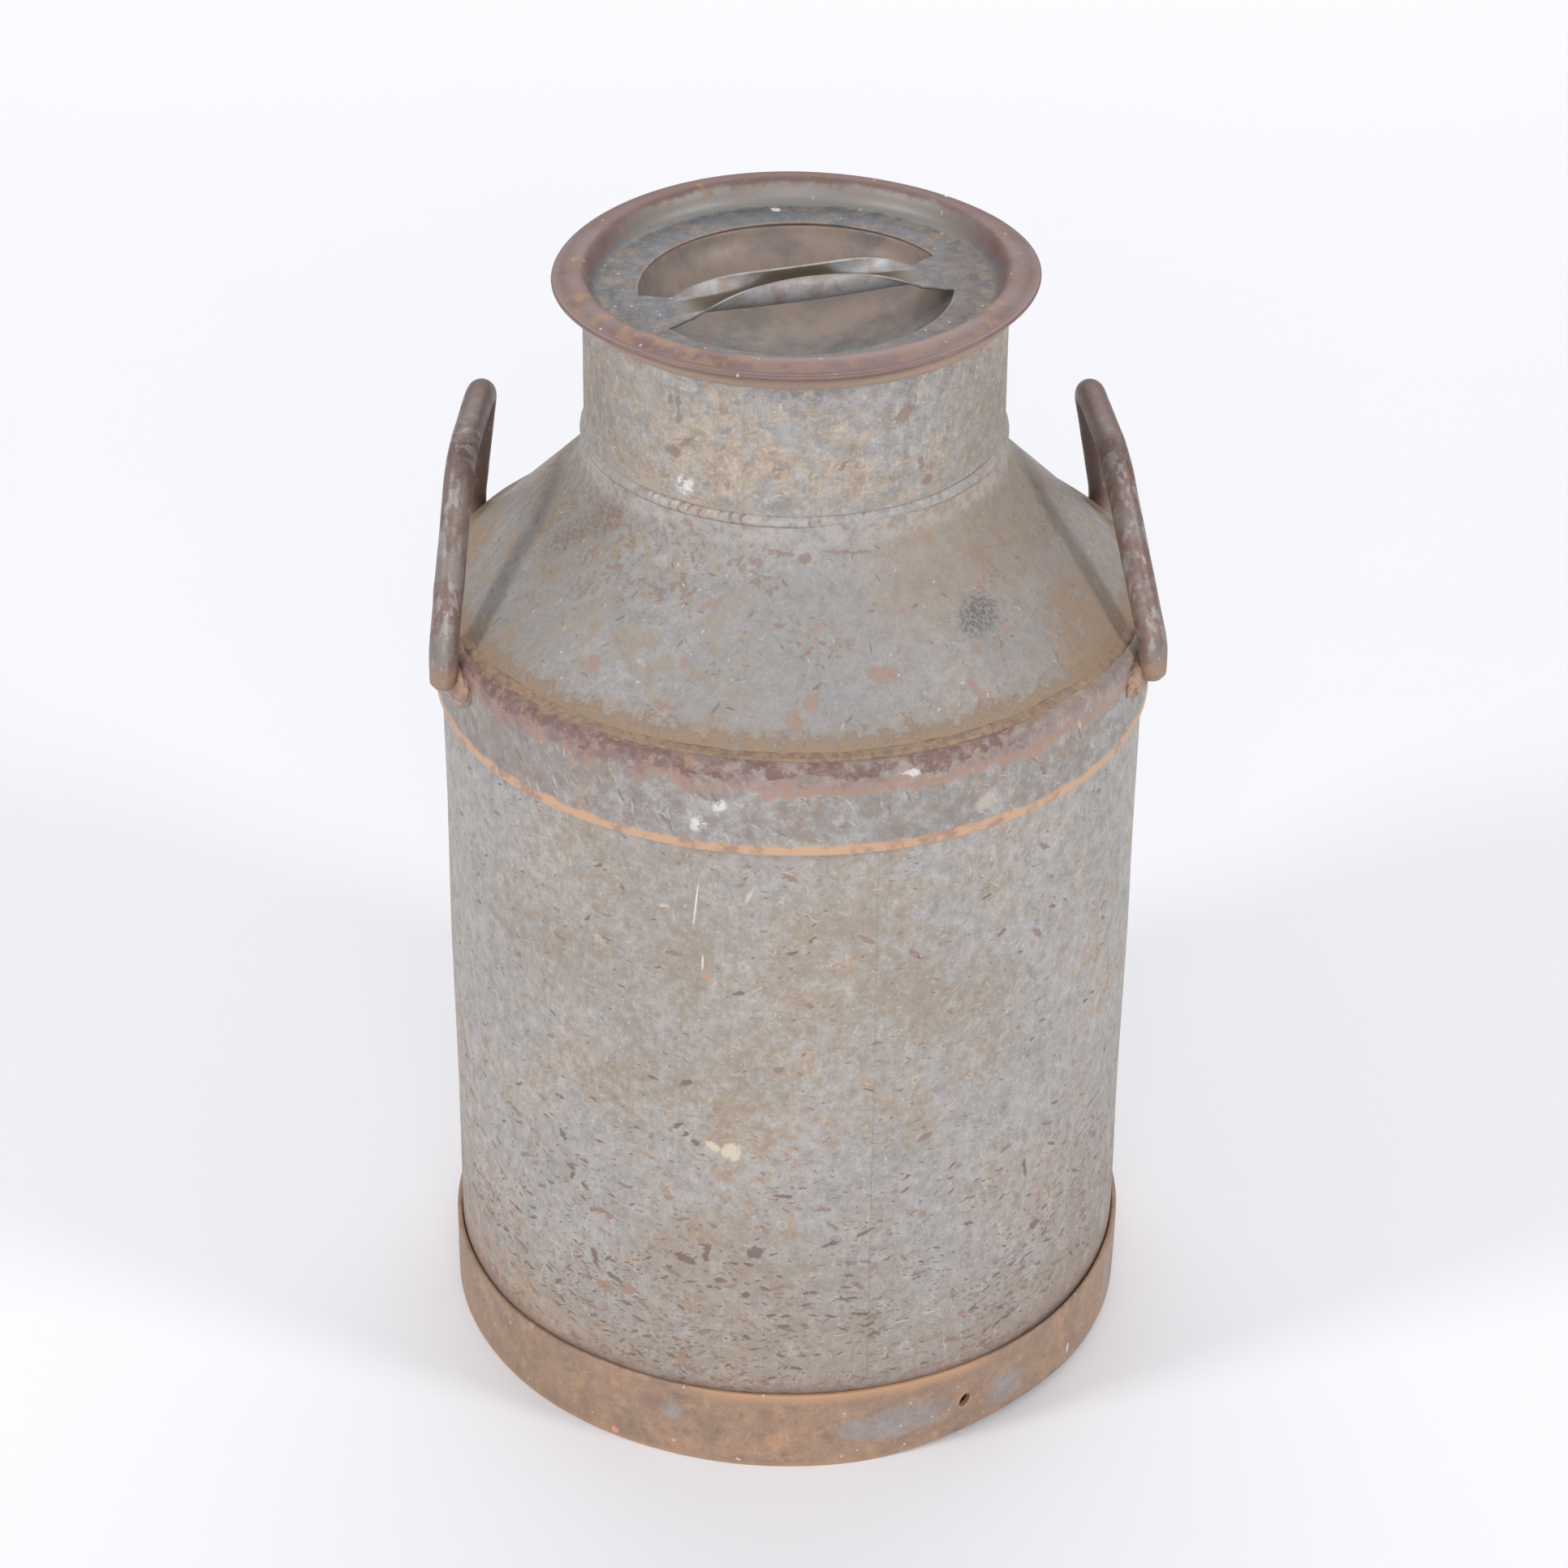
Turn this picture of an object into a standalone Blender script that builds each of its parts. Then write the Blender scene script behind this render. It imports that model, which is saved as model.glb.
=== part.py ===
"""A 40 litre milk can of galvanised sheet steel, with its plug lid.

Metres, +Z up. The origin is the centre of the ring that the can stands on, and +X points
to the right-hand handle. The can is a rolled barrel with a dished bottom, a foot hoop, a
coned shoulder, a shoulder hoop, a neck with a wired mouth and two bar handles. The lid is
a sunken cover with a rolled grip across a hand bowl, over a plug that enters the neck.
"""

import math

import bmesh
import bpy
from mathutils import Matrix, Vector

MM = 0.001
SEGMENTS = 48  # facets round every turned piece, so that nested pieces line up
GAP = 0.3 * MM  # clearance between pieces that touch

# Barrel and bottom
BARREL_RADIUS = 171.3 * MM  # outside
SHEET = 1.5 * MM
BARREL_BOTTOM = 29 * MM
BARREL_TOP = 405 * MM
DISH_CORNER = 24 * MM  # radius between the bottom and its flange
DISH_FLANGE_BOTTOM = 42 * MM
DISH_FLANGE_TOP = 54 * MM
DISH_CENTRE = 15 * MM
BOTTOM_WELD_RADIUS = 167.9 * MM
SEAM_AZIMUTH = -76.7  # degrees from +X of the barrel's upright weld

# Hoops
HOOP_THICKNESS = 2.7 * MM
FOOT_HOOP_TOP = 45 * MM
SHOULDER_HOOP_BOTTOM = 364 * MM
SHOULDER_HOOP_ROUND = 406 * MM  # height where its top edge starts to roll inwards
DRAIN_RADIUS = 4 * MM
DRAIN_HEIGHT = 22 * MM
DRAIN_AZIMUTH = -58.5

# Shoulder
SHOULDER_SEAM_RADIUS = 167.5 * MM
SHOULDER_SEAM_HEIGHT = 412 * MM
SHOULDER_SLOPE = 45  # degrees of the cone from level
SHOULDER_BEND_RADIUS = 32 * MM  # between the cone and the collar round the neck
COLLAR_TOP = 495.4 * MM
SHOULDER_WELD_RADIUS = 168.2 * MM
SHOULDER_WELD_HEIGHT = 414.6 * MM

# Neck and mouth
NECK_RADIUS = 99.6 * MM  # outside
NECK_SHEET = 1.2 * MM
NECK_BOTTOM = 486 * MM
MOUTH_BEAD = 2.8 * MM  # outside radius of the rolled mouth
MOUTH_HEIGHT = 568.6 * MM  # centre of the rolled mouth

# Handles
HANDLE_RADIUS = 7 * MM
HANDLE_FOOT = 396 * MM
HANDLE_BEND = 413 * MM  # above this height the legs close in and lean over the shoulder
# The two handles were bent by hand and differ. Spans are half distances, between the feet and
# between the corners before they are rounded. Leans are taken at the top of each leg, and the
# turn is how far round towards the rear the handle sits.
HANDLES = {
    "left": {
        "side": -1,
        "foot_span": 81.3 * MM,
        "top_span": 39.3 * MM,
        "top": 495 * MM,
        "corner": 28 * MM,
        "front_lean": 7.2 * MM,
        "rear_lean": 11.6 * MM,
        "turn": math.radians(0.8),
    },
    "right": {
        "side": 1,
        "foot_span": 78.9 * MM,
        "top_span": 35.7 * MM,
        "top": 492.8 * MM,
        "corner": 21.3 * MM,
        "front_lean": 15.7 * MM,
        "rear_lean": 17.8 * MM,
        "turn": math.radians(5.4),
    },
}

# Lid
LID_SHEET = 1.0 * MM
RIM_RADIUS = 112.9 * MM
RIM_BEAD = 2.5 * MM  # outside radius of the rolled rim
RIM_TOP = 578.5 * MM
RIM_FLAT_OUTER = 105 * MM  # the flat ring that rests on the seal
RIM_FLAT_INNER = 98.8 * MM
PLATE_HEIGHT = 567 * MM  # top face of the sunken plate
PLATE_RADIUS = 92 * MM
HAND_HOLE_RADIUS = 73.5 * MM
BOWL_DEPTH = 34 * MM
PLUG_RADIUS = 97.4 * MM
PLUG_BOTTOM = 531 * MM
PLUG_FLANGE_INNER = 85.4 * MM
PLUG_FLANGE_OUTER = 91 * MM
BOWL_FLANGE_RADIUS = 82.6 * MM
LID_WELD_RADIUS = 84 * MM
LID_WELD_BEAD = 0.9 * MM
SEAL_OUTER = 104.8 * MM
SEAL_INNER = 98.9 * MM

# Lid grip, a gutter pressed from the strip left between the two hand holes
GRIP_ANGLE = 17.7  # degrees from +X
GRIP_OFFSET = -5.9 * MM  # of its centre line from the lid's centre
GRIP_HALF_LENGTH = 79 * MM
GRIP_END_HALF_WIDTH = 19 * MM
GRIP_WAIST_HALF_WIDTH = 12 * MM
GRIP_ROLL_RADIUS = 7.8 * MM
GRIP_ROLL_ANGLE = math.radians(130)  # how far each edge is rolled round at mid-length
GRIP_DROP = 3.2 * MM
GRIP_THICKNESS = 1.2 * MM


def clear_scene():
    for existing in list(bpy.data.objects):
        bpy.data.objects.remove(existing, do_unlink=True)


def make_collection(name):
    collection = bpy.data.collections.new(name)
    bpy.context.scene.collection.children.link(collection)
    return collection


def make_material(name, colour, roughness, metallic):
    made = bpy.data.materials.new(name)
    made.use_nodes = True
    shader = made.node_tree.nodes["Principled BSDF"]
    shader.inputs["Base Color"].default_value = (*colour, 1.0)
    shader.inputs["Roughness"].default_value = roughness
    shader.inputs["Metallic"].default_value = metallic
    return made


def add_object(name, data, material, collection):
    made = bpy.data.objects.new(name, data)
    collection.objects.link(made)
    if material:
        data.materials.append(material)
    return made


def adopt_active(name, material, collection):
    """Names the primitive just added and moves it to its collection."""
    made = bpy.context.active_object
    made.name = name
    for other in list(made.users_collection):
        other.objects.unlink(made)
    collection.objects.link(made)
    if material:
        made.data.materials.append(material)
    return made


def arc(radius, height, bend, start, end, steps):
    """Points on an arc in the (radius, height) plane, its angles in degrees from +radius."""
    angles = [math.radians(start + (end - start) * i / steps) for i in range(steps + 1)]
    return [(radius + bend * math.cos(a), height + bend * math.sin(a)) for a in angles]


def turn(name, profile, closed, material, collection):
    """Turns a (radius, height) profile, run down its outer side, once round Z."""
    mesh = bpy.data.meshes.new(name)
    edges = [(i, i + 1) for i in range(len(profile) - 1)]
    if closed:
        edges.append((len(profile) - 1, 0))
    mesh.from_pydata([(radius, 0, height) for radius, height in profile], edges, [])
    made = add_object(name, mesh, material, collection)
    screw = made.modifiers.new("Turn", "SCREW")
    screw.axis = "Z"
    screw.angle = math.tau
    screw.steps = SEGMENTS
    screw.render_steps = SEGMENTS
    screw.use_merge_vertices = True
    screw.merge_threshold = 0.00001
    screw.use_smooth_shade = True
    return made


def thicken(target, thickness, offset):
    """Gives a sheet its thickness: offset -1 keeps the drawn side as the outer face."""
    solidify = target.modifiers.new("Sheet", "SOLIDIFY")
    solidify.thickness = thickness
    solidify.offset = offset
    solidify.use_even_offset = True


def cut(target, cutter, operation="DIFFERENCE"):
    boolean = target.modifiers.new("Cut", "BOOLEAN")
    boolean.operation = operation
    boolean.object = cutter
    boolean.solver = "EXACT"


def hide_as_cutter(cutter):
    cutter.hide_render = True
    cutter.display_type = "WIRE"


def make_ring_bead(name, radius, height, bead, material, collection):
    """A round bead of weld or wire that runs once round the can."""
    bpy.ops.mesh.primitive_torus_add(
        major_radius=radius,
        minor_radius=bead,
        major_segments=SEGMENTS,
        minor_segments=5,
        location=(0, 0, height),
    )
    return adopt_active(name, material, collection)


def make_barrel(steel, parts):
    wall = [(BARREL_RADIUS, BARREL_TOP), (BARREL_RADIUS, BARREL_BOTTOM)]
    thicken(turn("barrel", wall, False, steel, parts), SHEET, -1)


def make_barrel_seam(weld, parts):
    """The upright weld where the rolled sheet's two edges meet, at the front."""
    azimuth = math.radians(SEAM_AZIMUTH)
    bead = 0.8 * MM
    radius = BARREL_RADIUS + GAP + bead
    seam = bpy.data.curves.new("barrel_seam_weld", "CURVE")
    seam.dimensions = "3D"
    seam.bevel_depth = bead
    seam.bevel_resolution = 1
    seam.use_fill_caps = True
    line = seam.splines.new("POLY")
    line.points.add(1)
    ends = (FOOT_HOOP_TOP + 6 * MM, SHOULDER_HOOP_BOTTOM - 1 * MM)
    for point, height in zip(line.points, ends):
        point.co = (radius * math.cos(azimuth), radius * math.sin(azimuth), height, 1)
    add_object("barrel_seam_weld", seam, weld, parts)


def make_bottom(steel, weld, parts):
    flange_radius = BARREL_RADIUS - SHEET - GAP
    corner_centre = flange_radius - DISH_CORNER
    corner = arc(corner_centre, DISH_FLANGE_BOTTOM, DISH_CORNER, 0, -80, 4)
    profile = [(flange_radius, DISH_FLANGE_TOP), *corner, (0, DISH_CENTRE)]
    thicken(turn("bottom_dish", profile, False, steel, parts), SHEET, -1)
    bead = 1.2 * MM
    make_ring_bead("bottom_weld", BOTTOM_WELD_RADIUS, BARREL_BOTTOM, bead, weld, parts)


def make_foot_hoop(rusted, parts, cutters):
    inner = BARREL_RADIUS + GAP
    outer = inner + HOOP_THICKNESS
    edge = 0.6 * MM  # worn corners
    section = [
        (outer - edge, FOOT_HOOP_TOP),
        (outer, FOOT_HOOP_TOP - edge),
        (outer, 0),
        (inner, 0),
        (inner, FOOT_HOOP_TOP),
    ]
    hoop = turn("foot_hoop", section, True, rusted, parts)
    azimuth = math.radians(DRAIN_AZIMUTH)
    outward = Vector((math.cos(azimuth), math.sin(azimuth), 0))
    bpy.ops.mesh.primitive_cylinder_add(
        vertices=16,
        radius=DRAIN_RADIUS,
        depth=6 * HOOP_THICKNESS,
        location=outward * (inner + HOOP_THICKNESS / 2) + Vector((0, 0, DRAIN_HEIGHT)),
        rotation=outward.to_track_quat("Z", "Y").to_euler(),
    )
    drill = adopt_active("drain_hole_cutter", None, cutters)
    hide_as_cutter(drill)
    cut(hoop, drill)


def make_shoulder(steel, weld, parts):
    """The cone, with a flange down inside the barrel and a collar up round the neck."""
    flange_radius = BARREL_RADIUS - SHEET - GAP
    collar_radius = NECK_RADIUS + GAP + SHEET
    slope = math.radians(SHOULDER_SLOPE)
    rise = (SHOULDER_SEAM_RADIUS - collar_radius) * math.tan(slope)
    bend_height = SHOULDER_SEAM_HEIGHT + rise + SHOULDER_BEND_RADIUS * math.tan(slope / 2)
    bend_centre = collar_radius + SHOULDER_BEND_RADIUS
    bend_end = 180 + SHOULDER_SLOPE
    profile = [
        (collar_radius, COLLAR_TOP),
        *arc(bend_centre, bend_height, SHOULDER_BEND_RADIUS, 180, bend_end, 4),
        (SHOULDER_SEAM_RADIUS, SHOULDER_SEAM_HEIGHT),
        (flange_radius, SHOULDER_SEAM_HEIGHT - 6 * MM),
        (flange_radius, SHOULDER_HOOP_BOTTOM + 16 * MM),
    ]
    thicken(turn("shoulder_cone", profile, False, steel, parts), SHEET, -1)
    bead = 1.4 * MM
    weld_radius = NECK_RADIUS + GAP + bead
    make_ring_bead("neck_weld", weld_radius, COLLAR_TOP + GAP + bead, bead, weld, parts)


def make_shoulder_hoop(rusted, weld, parts):
    inner = BARREL_RADIUS + GAP
    outer = inner + HOOP_THICKNESS
    roll_radius = 6 * MM
    roll = arc(outer - roll_radius, SHOULDER_HOOP_ROUND, roll_radius, 90, 0, 4)
    section = [
        *roll,
        (outer, SHOULDER_HOOP_BOTTOM),
        (inner, SHOULDER_HOOP_BOTTOM),
        (inner, SHOULDER_HOOP_ROUND),
        (inner - 1.2 * MM, SHOULDER_HOOP_ROUND + 3 * MM),
    ]
    turn("shoulder_hoop", section, True, rusted, parts)
    bead = 1.3 * MM
    make_ring_bead(
        "shoulder_weld", SHOULDER_WELD_RADIUS, SHOULDER_WELD_HEIGHT, bead, weld, parts
    )


def make_neck(steel, wire, parts):
    """The neck tube, its top edge rolled outwards over a wire."""
    inner = NECK_RADIUS - NECK_SHEET
    bead_centre = inner + MOUTH_BEAD
    roll = arc(bead_centre, MOUTH_HEIGHT, MOUTH_BEAD, -130, 180, 7)
    thicken(turn("neck", [*roll, (inner, NECK_BOTTOM)], False, steel, parts), NECK_SHEET, 1)
    wire_radius = MOUTH_BEAD - NECK_SHEET - GAP
    make_ring_bead("mouth_wire", bead_centre, MOUTH_HEIGHT, wire_radius, wire, parts)


def handle_path(handle):
    """Centre line of a handle: two legs that close in, round corners and a flat top."""
    foot_span, top_span, top = handle["foot_span"], handle["top_span"], handle["top"]
    away = BARREL_RADIUS + 2 * GAP + HOOP_THICKNESS + HANDLE_RADIUS
    foot_x = math.sqrt(away**2 - foot_span**2)
    closing = math.atan2(foot_span - top_span, top - HANDLE_BEND)
    bend = handle["corner"]
    reach = bend * math.tan((math.pi / 2 - closing) / 2)
    corner = arc(top_span - reach, top - bend, bend, math.degrees(closing), 90, 5)
    half = [(foot_span, HANDLE_FOOT), (foot_span, HANDLE_BEND), *corner]
    outline = [*half, *[(-y, z) for y, z in reversed(half)]]
    front_lean, rear_lean = handle["front_lean"], handle["rear_lean"]
    turned = Matrix.Rotation(handle["side"] * handle["turn"], 3, "Z")
    points = []
    for y, z in outline:
        rise = max(0.0, z - HANDLE_BEND) / (top - HANDLE_BEND)
        rearward = min(1.0, max(0.0, (y / top_span + 1) / 2))
        lean = front_lean + (rear_lean - front_lean) * rearward
        points.append(turned @ Vector((handle["side"] * (foot_x - lean * rise), y, z)))
    return points


def make_tube(name, points, radius, material, collection):
    """A round bar along the points, as a mesh so that it can be cut."""
    curve = bpy.data.curves.new(name, "CURVE")
    curve.dimensions = "3D"
    curve.bevel_depth = radius
    curve.bevel_resolution = 3
    curve.use_fill_caps = True
    line = curve.splines.new("POLY")
    line.points.add(len(points) - 1)
    for spline_point, point in zip(line.points, points):
        spline_point.co = (*point, 1)
    drawn = bpy.data.objects.new(name + "_line", curve)
    collection.objects.link(drawn)
    graph = bpy.context.evaluated_depsgraph_get()
    mesh = bpy.data.meshes.new_from_object(drawn.evaluated_get(graph))
    welded = bmesh.new()
    welded.from_mesh(mesh)
    bmesh.ops.remove_doubles(welded, verts=welded.verts, dist=0.00001)
    welded.to_mesh(mesh)
    welded.free()
    made = bpy.data.objects.new(name, mesh)
    made.matrix_world = drawn.matrix_world
    collection.objects.link(made)
    bpy.data.objects.remove(drawn)
    mesh.name = name
    mesh.materials.clear()
    if material:
        mesh.materials.append(material)
    mesh.shade_smooth()
    return made


def make_foot_welds(side_name, path, weld, parts, cutters):
    """A fillet round the foot of each leg, cut back from the bar and the hoop."""
    bar = make_tube(side_name + "_handle_cutter", path, HANDLE_RADIUS + GAP, None, cutters)
    hide_as_cutter(bar)
    bpy.ops.mesh.primitive_cylinder_add(
        vertices=SEGMENTS,
        radius=BARREL_RADIUS + 2 * GAP + HOOP_THICKNESS,
        depth=0.2,
        location=(0, 0, HANDLE_FOOT),
    )
    wall = adopt_active(side_name + "_wall_cutter", None, cutters)
    hide_as_cutter(wall)
    for end_name, foot in (("rear", path[0]), ("front", path[-1])):
        azimuth = math.atan2(foot.y, foot.x)
        away = BARREL_RADIUS + HOOP_THICKNESS
        centre = Vector((away * math.cos(azimuth), away * math.sin(azimuth), HANDLE_FOOT))
        bpy.ops.mesh.primitive_uv_sphere_add(
            segments=16,
            ring_count=10,
            radius=1,
            location=centre,
            rotation=(0, 0, azimuth),
            scale=(6.5 * MM, 12 * MM, 10 * MM),
        )
        bpy.ops.object.transform_apply(location=False, rotation=False, scale=True)
        fillet = adopt_active(f"{side_name}_handle_{end_name}_weld", weld, parts)
        cut(fillet, wall)
        cut(fillet, bar)


def make_handle(side_name, handle, bar_steel, weld, parts, cutters):
    path = handle_path(handle)
    make_tube(side_name + "_handle", path, HANDLE_RADIUS, bar_steel, parts)
    make_foot_welds(side_name, path, weld, parts, cutters)


def cover_profile():
    """The lid cover's upper face, from the rolled rim in to the hand hole."""
    bead_centre = RIM_RADIUS - RIM_BEAD
    bead_height = RIM_TOP - 1.3 * MM - RIM_BEAD
    curl = arc(bead_centre, bead_height, RIM_BEAD, -130, 80, 5)
    crown = [(RIM_FLAT_OUTER, RIM_TOP), (RIM_FLAT_INNER, RIM_TOP)]
    wall = [(97 * MM, RIM_TOP - 2.2 * MM), (95 * MM, PLATE_HEIGHT + 3 * MM)]
    plate = [(PLATE_RADIUS, PLATE_HEIGHT), (HAND_HOLE_RADIUS, PLATE_HEIGHT)]
    return [*curl, *crown, *wall, *plate], bead_centre, bead_height


def make_grip(steel, cutters):
    """The strip across the hand hole, its edges rolled up into a gutter with an open top."""
    stations = 16
    across = 7
    rolled_half_width = GRIP_ROLL_RADIUS * GRIP_ROLL_ANGLE
    roll_reach = 0.8  # of the half length
    flare_start = 0.7  # of the half length
    vertices = []
    for i in range(stations + 1):
        along = 2 * i / stations - 1
        rolled = max(0.0, 1 - (abs(along) / roll_reach) ** 2.2) ** 0.6
        flare = max(0.0, (abs(along) - flare_start) / (1 - flare_start)) ** 1.5
        widening = (GRIP_END_HALF_WIDTH - GRIP_WAIST_HALF_WIDTH) * flare
        flat_width = GRIP_WAIST_HALF_WIDTH + widening
        half_width = flat_width + (rolled_half_width - flat_width) * rolled
        angle = max(GRIP_ROLL_ANGLE * rolled, 0.001)
        bend = half_width / angle
        for j in range(across + 1):
            turned = angle * (2 * j / across - 1)
            side = bend * math.sin(turned) + GRIP_OFFSET
            lift = bend * (1 - math.cos(turned)) - GRIP_DROP * rolled
            vertices.append((along * GRIP_HALF_LENGTH, side, lift))
    faces = []
    for i in range(stations):
        for j in range(across):
            first = i * (across + 1) + j
            faces.append((first, first + across + 1, first + across + 2, first + 1))
    mesh = bpy.data.meshes.new("lid_grip")
    mesh.from_pydata(vertices, [], faces)
    grip = add_object("lid_grip", mesh, steel, cutters)
    grip.location = (0, 0, PLATE_HEIGHT - LID_SHEET / 2)
    grip.rotation_euler = (0, 0, math.radians(GRIP_ANGLE))
    thicken(grip, GRIP_THICKNESS, 0)
    hide_as_cutter(grip)
    return grip


def make_lid(steel, wire, weld, rubber, parts, cutters):
    profile, bead_centre, bead_height = cover_profile()
    cover = turn("lid_cover", profile, False, steel, parts)
    thicken(cover, LID_SHEET, -1)
    cut(cover, make_grip(steel, cutters), "UNION")
    wire_radius = RIM_BEAD - LID_SHEET - GAP
    make_ring_bead("lid_rim_wire", bead_centre, bead_height, wire_radius, wire, parts)
    make_bowl(steel, parts)
    make_plug(steel, parts)
    weld_height = PLATE_HEIGHT - LID_SHEET - GAP - LID_WELD_BEAD
    make_ring_bead("lid_weld", LID_WELD_RADIUS, weld_height, LID_WELD_BEAD, weld, parts)
    seal_bottom = MOUTH_HEIGHT + MOUTH_BEAD + GAP
    seal_top = RIM_TOP - LID_SHEET - GAP
    section = [
        (SEAL_OUTER, seal_top),
        (SEAL_OUTER, seal_bottom),
        (SEAL_INNER, seal_bottom),
        (SEAL_INNER, seal_top),
    ]
    turn("lid_seal", section, True, rubber, parts)


def make_bowl(steel, parts):
    """The hand bowl under the grip, hung from a flange below the plate."""
    flange_top = PLATE_HEIGHT - LID_SHEET - GAP
    mouth = HAND_HOLE_RADIUS + 1 * MM
    profile = [(BOWL_FLANGE_RADIUS, flange_top), (mouth, flange_top)]
    steps = 5
    for i in range(1, steps):
        angle = math.radians(90 * i / steps)
        profile.append((mouth * math.cos(angle), flange_top - BOWL_DEPTH * math.sin(angle)))
    profile.append((0, flange_top - BOWL_DEPTH))
    thicken(turn("lid_bowl", profile, False, steel, parts), LID_SHEET, 1)


def make_plug(steel, parts):
    """The skirt that enters the neck, with a flange turned in below the plate."""
    flange_top = PLATE_HEIGHT - LID_SHEET - GAP
    profile = [
        (PLUG_FLANGE_INNER, flange_top),
        (PLUG_FLANGE_OUTER, flange_top),
        (PLUG_RADIUS - 1.5 * MM, flange_top - 1.2 * MM),
        (PLUG_RADIUS, flange_top - 3 * MM),
        (PLUG_RADIUS, PLUG_BOTTOM + 5 * MM),
        (PLUG_RADIUS - 1.5 * MM, PLUG_BOTTOM),
    ]
    thicken(turn("lid_plug", profile, False, steel, parts), LID_SHEET, -1)


def build():
    clear_scene()
    parts = make_collection("milk_can")
    cutters = make_collection("cutters")
    steel = make_material("galvanised_steel", (0.42, 0.40, 0.38), 0.55, 0.35)
    rusted = make_material("rusted_steel", (0.36, 0.25, 0.19), 0.7, 0.15)
    weld = make_material("weld_metal", (0.40, 0.33, 0.27), 0.7, 0.3)
    wire = make_material("steel_wire", (0.35, 0.33, 0.31), 0.5, 0.8)
    rubber = make_material("rubber", (0.05, 0.045, 0.04), 0.8, 0.0)
    make_barrel(steel, parts)
    make_barrel_seam(weld, parts)
    make_bottom(steel, weld, parts)
    make_foot_hoop(rusted, parts, cutters)
    make_shoulder(steel, weld, parts)
    make_shoulder_hoop(rusted, weld, parts)
    make_neck(steel, wire, parts)
    for side_name, handle in HANDLES.items():
        make_handle(side_name, handle, rusted, weld, parts, cutters)
    make_lid(steel, wire, weld, rubber, parts, cutters)


build()
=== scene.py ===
"""Looks of the 40 litre milk can: worn galvanised sheet, rusted hoops and a plug lid.

Metres, +Z up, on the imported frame. An azimuth here is measured from the front, which is -Y,
towards the right-hand handle, which is +X.
"""

import math

import bmesh
import bpy
from mathutils import Matrix, Vector, noise


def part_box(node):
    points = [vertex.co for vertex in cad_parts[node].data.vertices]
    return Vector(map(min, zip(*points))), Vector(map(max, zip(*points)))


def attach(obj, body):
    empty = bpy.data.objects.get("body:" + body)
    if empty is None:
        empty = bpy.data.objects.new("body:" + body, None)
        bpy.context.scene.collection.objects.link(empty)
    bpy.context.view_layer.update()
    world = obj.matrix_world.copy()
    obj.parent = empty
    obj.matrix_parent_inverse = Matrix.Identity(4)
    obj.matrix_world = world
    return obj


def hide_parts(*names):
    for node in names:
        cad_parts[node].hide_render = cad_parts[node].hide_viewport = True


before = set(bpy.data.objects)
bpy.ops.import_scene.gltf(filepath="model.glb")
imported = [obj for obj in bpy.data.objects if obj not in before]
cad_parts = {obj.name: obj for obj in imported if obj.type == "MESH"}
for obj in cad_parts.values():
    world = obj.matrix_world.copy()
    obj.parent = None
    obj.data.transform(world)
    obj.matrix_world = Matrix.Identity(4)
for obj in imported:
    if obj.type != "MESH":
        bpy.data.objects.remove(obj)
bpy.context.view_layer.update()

MM = 0.001

# Mesh fineness
STEPS = 288  # vertices round a turned piece
ROW = 4 * MM  # longest step along a profile
NECK_WELD_STEPS = 900
NECK_WELD_RIPPLES = 150
WELD_PITCH = 4 * MM
EVEN = [math.tau * i / STEPS for i in range(STEPS)]
BARREL_DENTS = (0.7 * MM, 85 * MM)  # depth and size

# Sheet thicknesses, and the gap between the shoulder hoop and the handle bars
SHEET = 1.5 * MM
THIN_SHEET = 1.2 * MM
LID_SHEET = 1.0 * MM
HOOP = 2.7 * MM
GAP = 0.3 * MM

# The lid sits askew on the neck, and its rim is a little warped
LID_FRONT_LIFT = 0.0112  # rise for each metre towards the front
LID_RIGHT_LIFT = 0.0142
RIM_BEAD = (112.6 * MM, 574.7 * MM, 1.2 * MM)  # radius, height and bend of the rolled edge
RIM_WARP = 0.8 * MM
RIM_WARP_AZIMUTH = math.radians(-44)
RIM_TWIST = 0.45 * MM
RIM_TWIST_AZIMUTH = math.radians(29)

# The strip across the hand hole
GRIP_ANGLE = 17.7  # degrees from +X
GRIP_OFFSET = -5.9 * MM
GRIP_END_HALF_WIDTH = 19 * MM
GRIP_WAIST_HALF_WIDTH = 12 * MM
GRIP_ROLL_RADIUS = 7.8 * MM
GRIP_ROLL_ANGLE = math.radians(130)
GRIP_DROP = 3.2 * MM
HAND_HOLE = 73.5 * MM
PLATE = 567 * MM  # height of the sunken plate

# Handles
HANDLE_RADIUS = 7 * MM
HANDLE_FOOT = 396 * MM
HANDLE_BEND = 413 * MM  # above this height the legs close in and lean over the shoulder
HANDLE_STEP = 2.5 * MM
# Millimetres and degrees: side, half the distance between the feet, half the distance between
# the corners, top, bend of the corners, lean at the top of the front leg and of the rear leg,
# turn towards the rear
HANDLES = {
    "left": (-1, 81.3, 39.3, 495, 28, 7.2, 11.6, 0.8),
    "right": (1, 78.9, 35.7, 492.8, 21.3, 15.7, 17.8, 5.4),
}

# Surface colours, linear
ZINC_COOL = (0.405, 0.385, 0.37)
ZINC_WARM = (0.40, 0.315, 0.25)
CREAM = (0.62, 0.55, 0.47)
OCHRE = (0.37, 0.29, 0.20)
TAN = (0.365, 0.27, 0.185)
DIRT = (0.37, 0.25, 0.16)
BROWN = (0.30, 0.205, 0.165)
DARK_BROWN = (0.20, 0.135, 0.12)
PURPLE = (0.27, 0.18, 0.17)
RUST = (0.41, 0.255, 0.195)
ORANGE = (0.56, 0.33, 0.19)
SOOT = (0.06, 0.05, 0.045)
WHITE = (0.85, 0.84, 0.83)


# ---------------------------------------------------------------- meshes


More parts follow.
